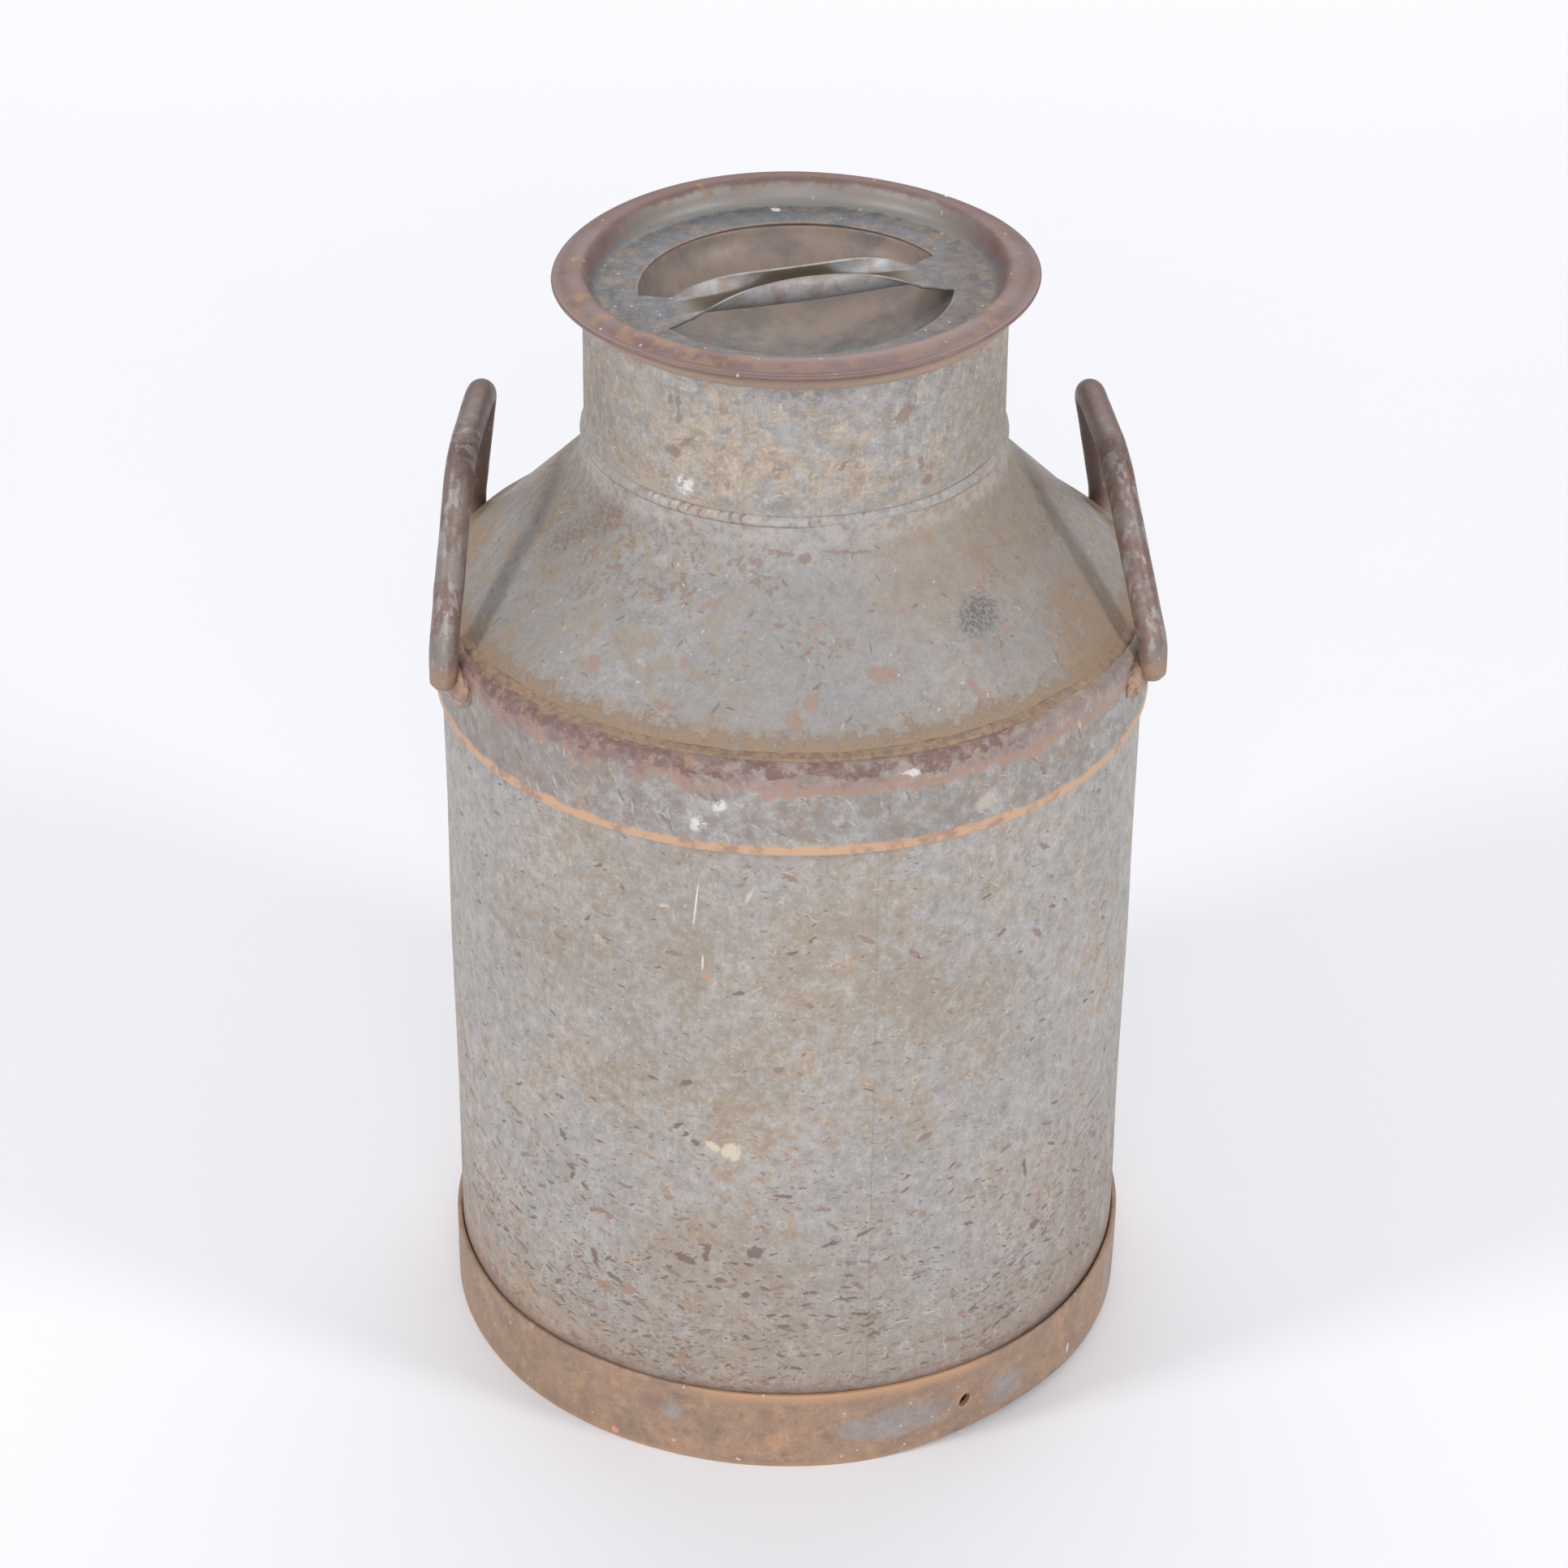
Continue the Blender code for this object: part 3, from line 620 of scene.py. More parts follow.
def neck_finish():
    """The neck: warm mottled zinc with brown drips and a white splash."""
    coat = zinc(
        "aged_zinc_neck",
        cool=(0.36, 0.345, 0.335),
        warm=(0.42, 0.345, 0.275),
        warmth=0.8,
        mottle=1.25,
        seed=45,
    )
    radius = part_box("neck")[1].y
    flat = coat.unrolled(radius, ragged=2.5)
    coat.blotch(6, 6, 0.75, 52, 0.52, 0.66, OCHRE, 0.7, 0.7)
    # the sides are painted a darker warm brown: partly stain, partly painted shade where the neck
    # turns away from the light
    sides = coat.step(coat.math("ABSOLUTE", coat.azimuth()), 0.55, 1.1)
    coat.paint(sides, (0.33, 0.25, 0.185), 0.4)
    coat.paint(coat.strokes(flat, 10, 7, 1.6, 0.9, 0.8, 0.26, 1), BROWN, 0.6, height=-0.06)
    coat.paint(coat.strokes(flat, 8, 5, 1.0, 0.1, 1.0, 0.35, 2), CREAM, 0.6)
    coat.blotch(5, 5, 0.75, 53, 0.54, 0.68, (0.62, 0.54, 0.45), 0.65)
    drips = [
        (-34.2, 550, 3, 6, 0), (-31.6, 548, 3.2, 11, 0), (-31.6, 541, 3.4, 6, 0),
        (-33.4, 523.5, 10, 7, 5), (-29.5, 530, 10, 3.4, 42), (-4, 523, 8, 3.4, 0),
        (13, 524.5, 9, 2, 48), (35.5, 518, 4, 9, 0), (37.8, 508, 7, 6, 0), (30, 545, 12, 9, 30),
    ]
    coat.paint(coat.marks(drips, radius), BROWN, 0.75, 0.75)
    blue = [(-2, 541, 20, 18, 0), (24, 528, 8, 7, 0), (-40, 545, 14, 12, 0)]
    coat.paint(coat.marks(blue, radius, 0.1), (0.36, 0.37, 0.385), 0.5)
    splash = coat.clouds(3, 5, 0.7, 55, 0.44, 0.54)
    splash = coat.times(splash, coat.marks([(-29.9, 508, 12, 12, 0)], radius, 0.4))
    coat.paint(splash, WHITE, 0.85)
    coat.paint(coat.marks([(-3, 519.5, 3, 3, 0)], radius), ORANGE, 0.9)
    # the rolled mouth is stained, and so is the metal under the lid's rim
    mouth = coat.above(562.5, 565.5)
    stained = coat.mix(coat.clouds(9, 4, 0.6, 54, 0.42, 0.6), TAN, RUST)
    coat.paint(mouth, stained, 0.85, 0.6)
    coat.paint(coat.above(503, 499), (0.42, 0.35, 0.30), 0.4)
    return coat.finished()


def weld_finish(name, colour, dark, seed):
    """Weld metal: rounded ripples, brown in the hollows."""
    coat = Finish(name, metallic=0.2, roughness=0.6)
    mottle = coat.noise(4, 5, 0.65, seed)
    coat.colour = coat.mix(coat.step(mottle, 0.42, 0.6), colour, dark)
    coat.blotch(9, 4, 0.6, seed + 1, 0.55, 0.68, ORANGE, 0.45, 0.8)
    coat.shade((coat.noise(1.5, 3, 0.6, seed + 2), 0.5))
    coat.height = coat.times(mottle, 0.35)
    return coat.finished()


def neck_weld_finish():
    """The ring weld at the neck's foot: a row of brown crescents, clearest at the front."""
    coat = zinc("neck_weld_metal", warm=(0.43, 0.34, 0.27), warmth=0.8, seed=60)
    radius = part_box("neck_weld")[1].x
    drift = coat.wander(6, 5, 61)
    rise = coat.math("SUBTRACT", coat.up, 496.6 * MM)
    bow = coat.times(rise, rise, -260.0)
    across = coat.math("MULTIPLY_ADD", coat.azimuth(), radius, bow)
    across = coat.math("ADD", across, drift[0])
    wave = coat.math("SINE", coat.times(across, math.tau / (5.2 * MM)))
    patchy = coat.clouds(11, 4, 0.65, 62, 0.46, 0.6)
    front = coat.band(coat.azimuth(), -0.6, 0.5, 0.3)
    crescents = coat.times(coat.step(wave, 0.1, 0.9), patchy, front)
    coat.paint(crescents, (0.27, 0.175, 0.14), 0.75, 0.75)
    coat.height = coat.math("MULTIPLY_ADD", wave, 0.04, coat.height)
    return coat.finished()


def rusty_hoop_finish():
    """The foot hoop: smooth brown rust with a worn blue-grey patch at the front right."""
    coat = Finish("rusted_foot_hoop", metallic=0.15, roughness=0.55)
    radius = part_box("foot_hoop")[1].x
    flat = coat.unrolled(radius, ragged=2)
    cloud = coat.noise(24, 6, 0.62, 81)
    fleck = coat.noise(6, 6, 0.68, 82)
    coat.colour = coat.mix(coat.step(cloud, 0.4, 0.62), (0.40, 0.262, 0.185), (0.33, 0.23, 0.165))
    coat.blotch(13, 7, 0.72, 83, 0.5, 0.66, (0.50, 0.31, 0.19), 0.65)
    coat.blotch(20, 7, 0.7, 84, 0.54, 0.66, (0.27, 0.16, 0.135), 0.6)
    grey = coat.marks(
        [(19, 22, 78, 24, 0), (40, 20, 30, 26, 0), (-19, 28, 15, 14, 0), (75, 24, 22, 36, 0)],
        radius,
        0.45,
    )
    grey = coat.times(grey, coat.step(cloud, 0.66, 0.45, 0.5, 1.0))
    coat.paint(grey, (0.35, 0.32, 0.31), 0.9, 0.5)
    # orange rust at the front; the small mark at -29 degrees and 34 mm is a painted highlight
    coat.paint(coat.marks([(-1, 16, 18, 16, -10), (-29, 34, 9, 6, 0)], radius, 0.2), ORANGE, 0.6)
    dark = coat.marks([(-22, 31, 22, 16, 0), (-56, 30, 26, 16, 0)], radius, 0.1)
    coat.paint(dark, (0.29, 0.175, 0.15), 0.5)
    coat.shade((fleck, 0.9), (coat.noise(1.8, 3, 0.6, 85), 0.4))
    edge = coat.above(38, 44.5)
    worn = coat.band(coat.azimuth(), -0.12, 0.5, 0.25)
    coat.paint(coat.times(edge, worn), ORANGE, 0.85, 0.5)
    # painted highlight: a lighter orange line along the bottom edge
    coat.paint(coat.above(3.5, 0.5), ORANGE, 0.5)
    coat.paint(coat.strokes(flat, 14, 9, 0.7, 1.0, 0.9, 0.3, 1), (0.62, 0.50, 0.42), 0.5)
    coat.paint(coat.spots(flat, 13, 1.8, 0.3, 2), (0.72, 0.62, 0.55), 0.8)
    coat.paint(coat.marks([(-29.4, 3.5, 5, 4, 0)], radius), (0.85, 0.33, 0.25), 0.9)
    coat.paint(coat.marks([(-7.5, 3, 4, 2, 0), (57, 13, 3, 8, 0)], radius), WHITE, 0.8)
    coat.paint(coat.marks([(31.2, 23.5, 11, 12, 0)], radius, 0.6), ORANGE, 0.5)
    coat.roughness = coat.step(fleck, 0.35, 0.65, 0.5, 0.68)
    coat.height = coat.times(coat.math("ADD", cloud, fleck), 0.1)
    return coat.finished()


def band_finish():
    """The shoulder hoop: grey and scuffed, with rust along its rounded top and lower edge."""
    coat = zinc(
        "worn_shoulder_hoop",
        cool=(0.36, 0.34, 0.33),
        warm=(0.36, 0.28, 0.225),
        warmth=0.75,
        mottle=1.1,
        seed=90,
    )
    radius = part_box("shoulder_hoop")[1].x
    flat = coat.unrolled(radius, ragged=3)
    coat.shade((coat.noise(40, 4, 0.6, 101), 0.5))
    coat.paint(coat.step(coat.azimuth(), -0.35, -0.8), (0.22, 0.17, 0.15), 0.3)
    grime = coat.clouds(9, 7, 0.74, 102, 0.44, 0.62)
    coat.paint(grime, (0.27, 0.225, 0.195), 0.7)
    coat.paint(coat.strokes(flat, 9, 11, 2.0, -0.9, 0.5, 0.3, 1), DARK_BROWN, 0.55, height=-0.08)
    coat.paint(coat.strokes(flat, 9, 8, 1.4, -0.9, 0.7, 0.36, 2), (0.58, 0.53, 0.49), 0.55)
    ragged = coat.math("SUBTRACT", coat.noise(12, 5, 0.65, 103), 0.5)
    level = coat.math("MULTIPLY_ADD", ragged, 26 * MM, coat.up)
    left = coat.step(coat.azimuth(), 0.15, -0.45)
    top = coat.step(level, 396 * MM, 401 * MM)
    rust = coat.mix(coat.clouds(10, 5, 0.6, 104, 0.42, 0.58), PURPLE, RUST)
    worn = coat.clouds(7, 6, 0.75, 106, 0.66, 0.5, 0.25, 1.0)
    coat.paint(coat.times(top, worn, coat.step(left, 0, 1, 0.45, 0.9)), rust, 1.0, 0.6)
    brow = coat.times(coat.band(level, 406.5 * MM, 412 * MM, 2 * MM), worn)
    brow = coat.times(brow, coat.band(coat.azimuth(), -1.0, 0.55, 0.3))
    brow = coat.times(brow, coat.clouds(8, 6, 0.7, 107, 0.38, 0.56))
    coat.paint(brow, (0.20, 0.115, 0.105), 0.9, 0.6)
    joint = coat.times(coat.above(410.6, 411.6), grime)
    coat.paint(joint, (0.33, 0.235, 0.165), 0.6, 0.8)
    seam = coat.band(level, 396.5 * MM, 399.5 * MM, 2 * MM)
    coat.paint(coat.times(seam, coat.step(left, 1.0, 0.0)), RUST, 0.8)
    foot = coat.step(coat.math("MULTIPLY_ADD", ragged, 7 * MM, coat.up), 370.5 * MM, 368 * MM)
    edge = coat.mix(coat.clouds(14, 4, 0.6, 105, 0.36, 0.5), RUST, (0.62, 0.39, 0.25))
    coat.paint(foot, edge, 0.95, 0.6)
    white = [(-10.8, 389.5, 9, 9, 0), (-14, 378, 12, 9, 40), (18.3, 404, 12, 4, -8)]
    soft_white = coat.times(coat.marks(white, radius, 0.2), coat.step(grime, 0.8, 0.1))
    coat.paint(soft_white, WHITE, 0.7)
    glint = [(50, 398, 2.2, 10, 14), (31, 379, 16, 11, 20)]
    coat.paint(coat.times(coat.marks(glint, radius, 0.3), 0.7), CREAM, 0.8)
    return coat.finished()


def bar_finish(name, seed, greyness):
    """A handle bar: brown patina worn to grey along its length."""
    coat = Finish(name, metallic=0.3, roughness=0.45)
    cloud = coat.noise(22, 5, 0.6, seed)
    fleck = coat.noise(5, 6, 0.68, seed + 1)
    grey = coat.step(cloud, 0.62 - 0.25 * greyness, 0.48 - 0.25 * greyness)
    coat.colour = coat.mix(grey, (0.265, 0.225, 0.205), (0.25, 0.165, 0.135))
    coat.blotch(14, 5, 0.62, seed + 2, 0.46, 0.58, (0.20, 0.11, 0.095), 0.7)
    # painted shade: the rear legs, on the side turned away from the light, are darkened
    rear = coat.step(coat.forward, 10 * MM, -25 * MM)
    coat.paint(rear, (0.16, 0.105, 0.09), 0.75)
    coat.paint(coat.above(450, 482), (0.17, 0.10, 0.085), 0.45)
    coat.blotch(10, 5, 0.65, seed + 3, 0.6, 0.7, RUST, 0.5)
    streaks = coat.noise(7, 4, 0.6, seed + 6, coat.vector("MULTIPLY", coat.place, (1.5, 1.5, 0.25)))
    glint = coat.times(coat.step(streaks, 0.52, 0.62), coat.step(coat.forward, 0, 30 * MM))
    coat.paint(glint, (0.40, 0.385, 0.39), 0.6, 0.32)
    foot = coat.above(414, 402)
    coat.paint(foot, (0.36, 0.235, 0.165), 0.8, 0.75)
    coat.blotch(2.4, 4, 0.6, seed + 4, 0.66, 0.74, (0.55, 0.51, 0.50), 0.55, 0.3)
    coat.shade((fleck, 0.6), (coat.noise(1.6, 3, 0.6, seed + 5), 0.25))
    coat.roughness = coat.step(fleck, 0.35, 0.65, 0.36, 0.55)
    coat.height = coat.times(coat.math("ADD", cloud, fleck), 0.14)
    return coat.finished()


def lid_finish():
    """The cover: a purple-brown rim with orange wear round a blue-grey sunken plate."""
    coat = zinc(
        "aged_zinc_lid",
        cool=(0.16, 0.165, 0.175),
        warm=(0.17, 0.13, 0.11),
        warmth=0.45,
        mottle=0.7,
        seed=120,
    )
    flat_place = coat.vector("MULTIPLY", coat.place, (1, 1, 0))
    reach = coat.vector("LENGTH", flat_place)
    ragged = coat.math("SUBTRACT", coat.noise(10, 5, 0.65, 131), 0.5)
    edge = coat.math("MULTIPLY_ADD", ragged, 6 * MM, reach)
    coat.blotch(15, 5, 0.62, 132, 0.55, 0.68, (0.33, 0.22, 0.175), 0.55)
    patches = coat.clouds(13, 7, 0.74, 135, 0.52, 0.64)
    coat.paint(patches, (0.245, 0.17, 0.13), 0.65)
    coat.blotch(8, 6, 0.74, 136, 0.56, 0.68, (0.28, 0.27, 0.27), 0.5, 0.42)
    rear = coat.step(coat.forward, -25 * MM, -75 * MM)
    right = coat.step(coat.right, 45 * MM, 85 * MM)
    coat.paint(coat.times(right, coat.step(ragged, -0.2, 0.1)), (0.17, 0.11, 0.085), 0.55)
    dirt = coat.band(edge, 88 * MM, 91.5 * MM, 2 * MM)
    coat.paint(coat.times(dirt, coat.step(ragged, -0.05, 0.08)), OCHRE, 0.45)
    rim = coat.step(edge, 94 * MM, 97.5 * MM)
    cloud = coat.clouds(18, 5, 0.6, 133, 0.42, 0.6)
    tone = coat.mix(cloud, (0.245, 0.17, 0.165), (0.225, 0.14, 0.12))
    coat.paint(rim, tone, 1.0, 0.5)
    coat.paint(coat.times(rim, rear), (0.22, 0.13, 0.11), 0.6, 0.65)
    # painted highlight: a pale band on the cover's inner wall at the rear, where the light falls on
    # it
    wall = coat.times(coat.band(edge, 93 * MM, 97.5 * MM, 2 * MM), rear)
    coat.paint(wall, (0.33, 0.315, 0.29), 0.7, 0.4)
    front = coat.step(coat.forward, -60 * MM, 100 * MM, 0.6, 0.46)
    worn = coat.math("SUBTRACT", coat.noise(11, 5, 0.65, 134), front)
    wear = coat.step(worn, 0.0, 0.1)
    coat.paint(coat.times(rim, wear), (0.39, 0.235, 0.145), 0.7, 0.6)
    # painted shade: a dark line along the crease behind the rolled edge, at the front only
    crease_shade = coat.band(reach, 110.8 * MM, 111.8 * MM, 0.8 * MM)
    coat.paint(coat.times(crease_shade, coat.step(coat.forward, 0, 80 * MM)), DARK_BROWN, 0.7)
    outer = coat.step(reach, 111.5 * MM, 112.5 * MM)
    coat.paint(outer, (0.23, 0.15, 0.145), 0.7, 0.4)
    coat.paint(coat.spots(flat_place, 9, 1.8, 0.16, 1), (0.62, 0.55, 0.50), 0.8, 0.4)
    open_side = paint_grip(coat)
    hole = coat.times(coat.band(reach, 73.2 * MM, 74 * MM, MM), coat.step(ragged, -0.12, 0.05))
    coat.paint(coat.times(hole, open_side), (0.36, 0.22, 0.15), 0.65)
    back = coat.times(coat.forward, -1.0)
    chips = [(-10.5, 88.6, 5, 4, 20), (72.6, 87.8, 4, 3, 0), (36, -10, 3, 2, 0)]
    coat.paint(coat.patches(chips, coat.right, back, 0.75), WHITE, 0.9)
    return coat.finished()


def paint_grip(coat):
    """The grip within the cover: grey outside, with an olive-brown gutter between its two lips,
    darkened by painted shade towards its bottom.
    """
    turn = math.radians(GRIP_ANGLE)
    across = coat.along(coat.place, (-math.sin(turn), math.cos(turn), 0))
    along = coat.along(coat.place, (math.cos(turn), math.sin(turn), 0))
    level = coat.along(coat.place, (-LID_RIGHT_LIFT, LID_FRONT_LIFT, 1))
    axis = PLATE - GRIP_DROP + GRIP_ROLL_RADIUS
    y, z = coat.math("SUBTRACT", across, GRIP_OFFSET), coat.math("SUBTRACT", level, axis)
    reach = coat.math("SQRT", coat.math("MULTIPLY_ADD", y, y, coat.times(z, z)))
    rolled = coat.step(coat.math("ABSOLUTE", along), 64 * MM, 44 * MM)
    streak = coat.clouds(9, 6, 0.7, 151, 0.42, 0.64)
    tone = coat.mix(streak, (0.54, 0.53, 0.55), (0.43, 0.34, 0.30))
    close = coat.step(reach, 14 * MM, 11 * MM)
    coat.paint(coat.times(rolled, close), tone, 0.85, 0.45)
    # olive-brown inside the gutter, and painted shade, near black, towards the gutter's bottom
    inside = coat.times(coat.step(reach, 8.5 * MM, 8.0 * MM), rolled)
    gutter_shade = coat.times(inside, coat.step(z, 6 * MM, 0.5 * MM))
    coat.paint(inside, (0.27, 0.215, 0.15), 0.85, 0.75)
    coat.paint(gutter_shade, (0.12, 0.095, 0.065), 0.75, 0.9)
    lip = coat.times(coat.step(z, 3.6 * MM, 5.2 * MM), rolled, coat.step(y, 1 * MM, -1 * MM))
    coat.paint(lip, (0.33, 0.235, 0.225), 0.5)
    return coat.step(coat.math("ABSOLUTE", y), 17 * MM, 21 * MM)


def bowl_finish():
    """The hand bowl: brown at the back, darker towards its middle, and dark grey at the front,
    where painted shade darkens it.
    """
    coat = zinc(
        "aged_zinc_bowl",
        cool=(0.15, 0.16, 0.17),
        warm=(0.19, 0.16, 0.14),
        warmth=0.5,
        mottle=0.6,
        seed=160,
    )
    back = coat.step(coat.forward, 15 * MM, -30 * MM)
    cloud = coat.clouds(20, 5, 0.6, 171, 0.36, 0.6, 0.5, 1.0)
    coat.paint(coat.times(back, cloud), (0.40, 0.30, 0.245), 0.9, 0.5)
    # painted shade: the front of the bowl, under the cover's front rim and the grip, is darkened to
    # a deep blue-grey
    coat.paint(coat.step(coat.forward, 0, 35 * MM), (0.10, 0.11, 0.125), 0.5)
    coat.blotch(9, 5, 0.65, 172, 0.56, 0.7, BROWN, 0.4)
    coat.paint(coat.spots(coat.place, 15, 2.6, 0.22, 1), SOOT, 0.7)
    back = coat.times(coat.forward, -1.0)
    coat.paint(coat.patches([(36.7, -33.7, 5, 5, 0)], coat.right, back, 0.8), WHITE, 0.9)
    return coat.finished()


def plain_zinc(name, seed, tone=1.0):
    """Galvanised sheet that the light rarely reaches: the dished bottom and the plug."""
    cool = tuple(c * tone for c in ZINC_COOL)
    warm = tuple(c * tone for c in ZINC_WARM)
    coat = zinc(name, cool=cool, warm=warm, warmth=0.6, seed=seed)
    coat.blotch(18, 6, 0.66, seed + 7, 0.52, 0.68, RUST, 0.6, 0.8)
    return coat.finished()


def wire_finish():
    """Dull steel wire with brown rust."""
    coat = Finish("rusty_wire", metallic=0.6, roughness=0.5)
    mottle = coat.noise(5, 5, 0.65, 180)
    coat.colour = coat.mix(coat.step(mottle, 0.4, 0.6), (0.32, 0.29, 0.27), BROWN)
    coat.height = coat.times(mottle, 0.15)
    return coat.finished()


def rubber_finish():
    """Old black rubber, dusty in patches."""
    coat = Finish("old_rubber", metallic=0.0, roughness=0.8)
    mottle = coat.noise(6, 5, 0.65, 190)
    dusty = coat.step(mottle, 0.4, 0.6)
    coat.colour = coat.mix(dusty, (0.04, 0.035, 0.032), (0.09, 0.075, 0.065))
    coat.height = coat.times(mottle, 0.2)
    return coat.finished()


# ---------------------------------------------------------------- pieces


def settle(piece, material, body, slot, *nodes):
    """Puts a finished piece on its body, in place of the CAD nodes that it stands for."""
    piece.data.materials.append(material)
    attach(piece, body)
    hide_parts(*nodes)


def ring_bead(name, radius, height, bead, ripple=0.0, shape=None):
    """A bead of weld or wire round the can; a ripple above 0 swells it at the weld's pitch."""
    section = arc(radius, height, bead, 90, -255, 11)

    def rippled(azimuth, r, z):
        swell = 1 + ripple * math.cos(azimuth * round(math.tau * radius / WELD_PITCH))
        swell += ripple * noise.noise(Vector((math.sin(azimuth), math.cos(azimuth), 0)) * 40)
        r = radius + (r - radius) * swell
        z = height + (z - height) * swell
        return shape(azimuth, r, z) if shape else (r, z)

    return turned(name, section, rippled, closed=True)


def make_barrel(metal):
    low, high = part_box("barrel")
    wall = fine([(high.x, high.z), (high.x, low.z)])
    barrel = thicken(turned("barrel_wall", wall, dented(*BARREL_DENTS)), SHEET)
    settle(barrel, metal, "can", "galvanised_steel", "barrel")


def make_barrel_seam(material):
    """The upright seam at the front, ground almost flush."""
    low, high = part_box("barrel_seam_weld")
    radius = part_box("barrel")[1].x
    azimuth = math.atan2((low.x + high.x) / 2, -(low.y + high.y) / 2)
    centre = Vector((math.sin(azimuth), -math.cos(azimuth), 0))
    rows = 120
    path = []
    for i in range(rows + 1):
        z = low.z + (high.z - low.z) * i / rows
        depth = dented(*BARREL_DENTS)(azimuth, radius, z)[0] + 0.05 * MM
        path.append(centre * depth + Vector((0, 0, z)))

    def section(share):
        swell = 1 + 0.25 * noise.noise(Vector((share * 60, 0, 0)))
        return 1.3 * MM * swell, 0.28 * MM * swell

    seam = swept("barrel_seam", path, section, sides=10)
    settle(seam, material, "can", "weld_metal", "barrel_seam_weld")


def make_bottom(metal, weld):
    low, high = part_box("bottom_dish")
    corner = 24 * MM
    flange_bottom = 42 * MM
    centre_height = low.z + SHEET
    bend = arc(high.x - corner, flange_bottom, corner, 0, -80, 14)
    profile = fine([(high.x, high.z), *bend, (0, centre_height)], spacing=8 * MM)
    dish = thicken(turned("bottom_plate", profile, dented(0.5 * MM, 60 * MM, 5)), SHEET)
    settle(dish, metal, "can", "galvanised_steel", "bottom_dish")
    low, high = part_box("bottom_weld")
    bead = (high.z - low.z) / 2
    ring = ring_bead("bottom_ring_weld", high.x - bead, (low.z + high.z) / 2, bead, 0.15)
    settle(ring, weld, "can", "weld_metal", "bottom_weld")


def foot_hoop_shape(azimuth, radius, height, middle, top):
    """The hoop gapes from the barrel at its sides, and its foot is beaten in at the right."""
    stops = [(-180, 0.3), (-90, 0.1), (-50, 0.5), (-6, 0.3), (2, 0), (22, 0), (50, 1.0)]
    gape = around_value(azimuth, [*stops, (90, 0.1), (180, 0.3)])
    rise = max(0.0, (height - 0.3 * top) / (0.7 * top))
    share = 1.0 if radius < middle else 0.35
    radius += gape * MM * rise**2 * share
    beaten = around_value(azimuth, [(-180, 0), (8, 0), (42, 1), (66, 0.7), (92, 0), (180, 0)])
    drop = max(0.0, 1 - height / (0.6 * top)) ** 2
    radius -= 2.2 * MM * beaten * drop
    height += 3.2 * MM * beaten * drop
    sunk = around_value(azimuth, [(-180, 0), (-150, 0), (-90, 6), (-60, 3), (-30, 0), (180, 0)])
    height -= sunk * MM * rise
    radius += 0.35 * MM * noise.noise(Vector((azimuth * 3, height * 30, 3)))
    return radius, height


def make_foot_hoop():
    low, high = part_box("foot_hoop")
    outer = high.x
    inner = outer - HOOP
    middle = (outer + inner) / 2
    worn = 1.0 * MM
    section = [
        *arc(outer - worn, high.z - worn, worn, 90, 0, 4),
        *fine([(outer, high.z - 2 * worn), (outer, low.z + worn)])[1:-1],
        *arc(outer - worn * 0.7, low.z + worn * 0.7, worn * 0.7, 0, -90, 3),
        (inner + worn / 2, low.z),
        (inner, low.z + worn / 2),
        *fine([(inner, low.z + worn), (inner, high.z - worn)])[1:-1],
        (inner, high.z - worn / 2),
        (inner + worn / 2, high.z),
    ]

    def shape(azimuth, radius, height):
        return foot_hoop_shape(azimuth, radius, height, middle, high.z)

    hoop = turned("foot_hoop_ring", section, shape, closed=True)
    drill_drain(hoop, middle)
    settle(hoop, rusty_hoop_finish(), "can", "rusted_steel", "foot_hoop")


def drill_drain(hoop, radius):
    """Cuts the slanting oval drain hole through the hoop at the front right."""
    azimuth = math.radians(31.3)
    outward = Vector((math.sin(azimuth), -math.cos(azimuth), 0))
    bpy.ops.mesh.primitive_cylinder_add(vertices=40, radius=1, depth=1)
    drill = bpy.context.active_object
    turn = outward.to_track_quat("Z", "Y").to_matrix().to_4x4()
    slant = Matrix.Rotation(math.radians(-28), 4, "Z")
    size = Matrix.Diagonal((2.7 * MM, 4.0 * MM, 20 * MM, 1))
    place = Matrix.Translation(outward * radius + Vector((0, 0, 23 * MM)))
    drill.matrix_world = place @ turn @ slant @ size
    for corner in drill.data.vertices:
        corner.co.xy *= 1 + 0.12 * noise.noise(Vector((corner.co.x * 2, corner.co.y * 2, 1)))
    cut = hoop.modifiers.new("Drain", "BOOLEAN")
    cut.operation = "DIFFERENCE"
    cut.object = drill
    cut.solver = "EXACT"
    graph = bpy.context.evaluated_depsgraph_get()
    drilled = bpy.data.meshes.new_from_object(hoop.evaluated_get(graph))
    hoop.modifiers.clear()
    hoop.data = drilled
    bpy.data.objects.remove(drill, do_unlink=True)


def make_shoulder(weld):
    """The coned shoulder, and the low dirty fillet between it and its hoop."""
    low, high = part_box("shoulder_cone")
    collar = 101.4 * MM
    seam_radius = 167.5 * MM
    seam_height = 412 * MM
    bend = 32 * MM
    slope = math.radians(45)
    bend_height = seam_height + seam_radius - collar + bend * math.tan(slope / 2)
    profile = fine(
        [
            (collar, high.z),
            *arc(collar + bend, bend_height, bend, 180, 225, 12),
            (seam_radius, seam_height),
            (high.x, seam_height - 6 * MM),
            (high.x, low.z),
        ]
    )
    cone = thicken(turned("shoulder", profile, dented(0.5 * MM, 70 * MM, 9)), SHEET)
    settle(cone, cone_finish(), "can", "galvanised_steel", "shoulder_cone")
    section = millimetres(
        (164.6, 414.4), (166.0, 413.8), (168.2, 412.7), (170.4, 411.5), (168.4, 410.8),
        (165.8, 411.8),
    )

    def uneven(azimuth, radius, height):
        around = Vector((math.sin(azimuth), math.cos(azimuth), 0))
        sway = 0.35 * noise.noise(around * 22) + 0.2 * noise.noise(around * 70)
        return radius + sway * MM, height + 0.3 * sway * MM

    ring = turned("shoulder_ring_weld", section, uneven, closed=True)
    settle(ring, weld, "can", "weld_metal", "shoulder_weld")


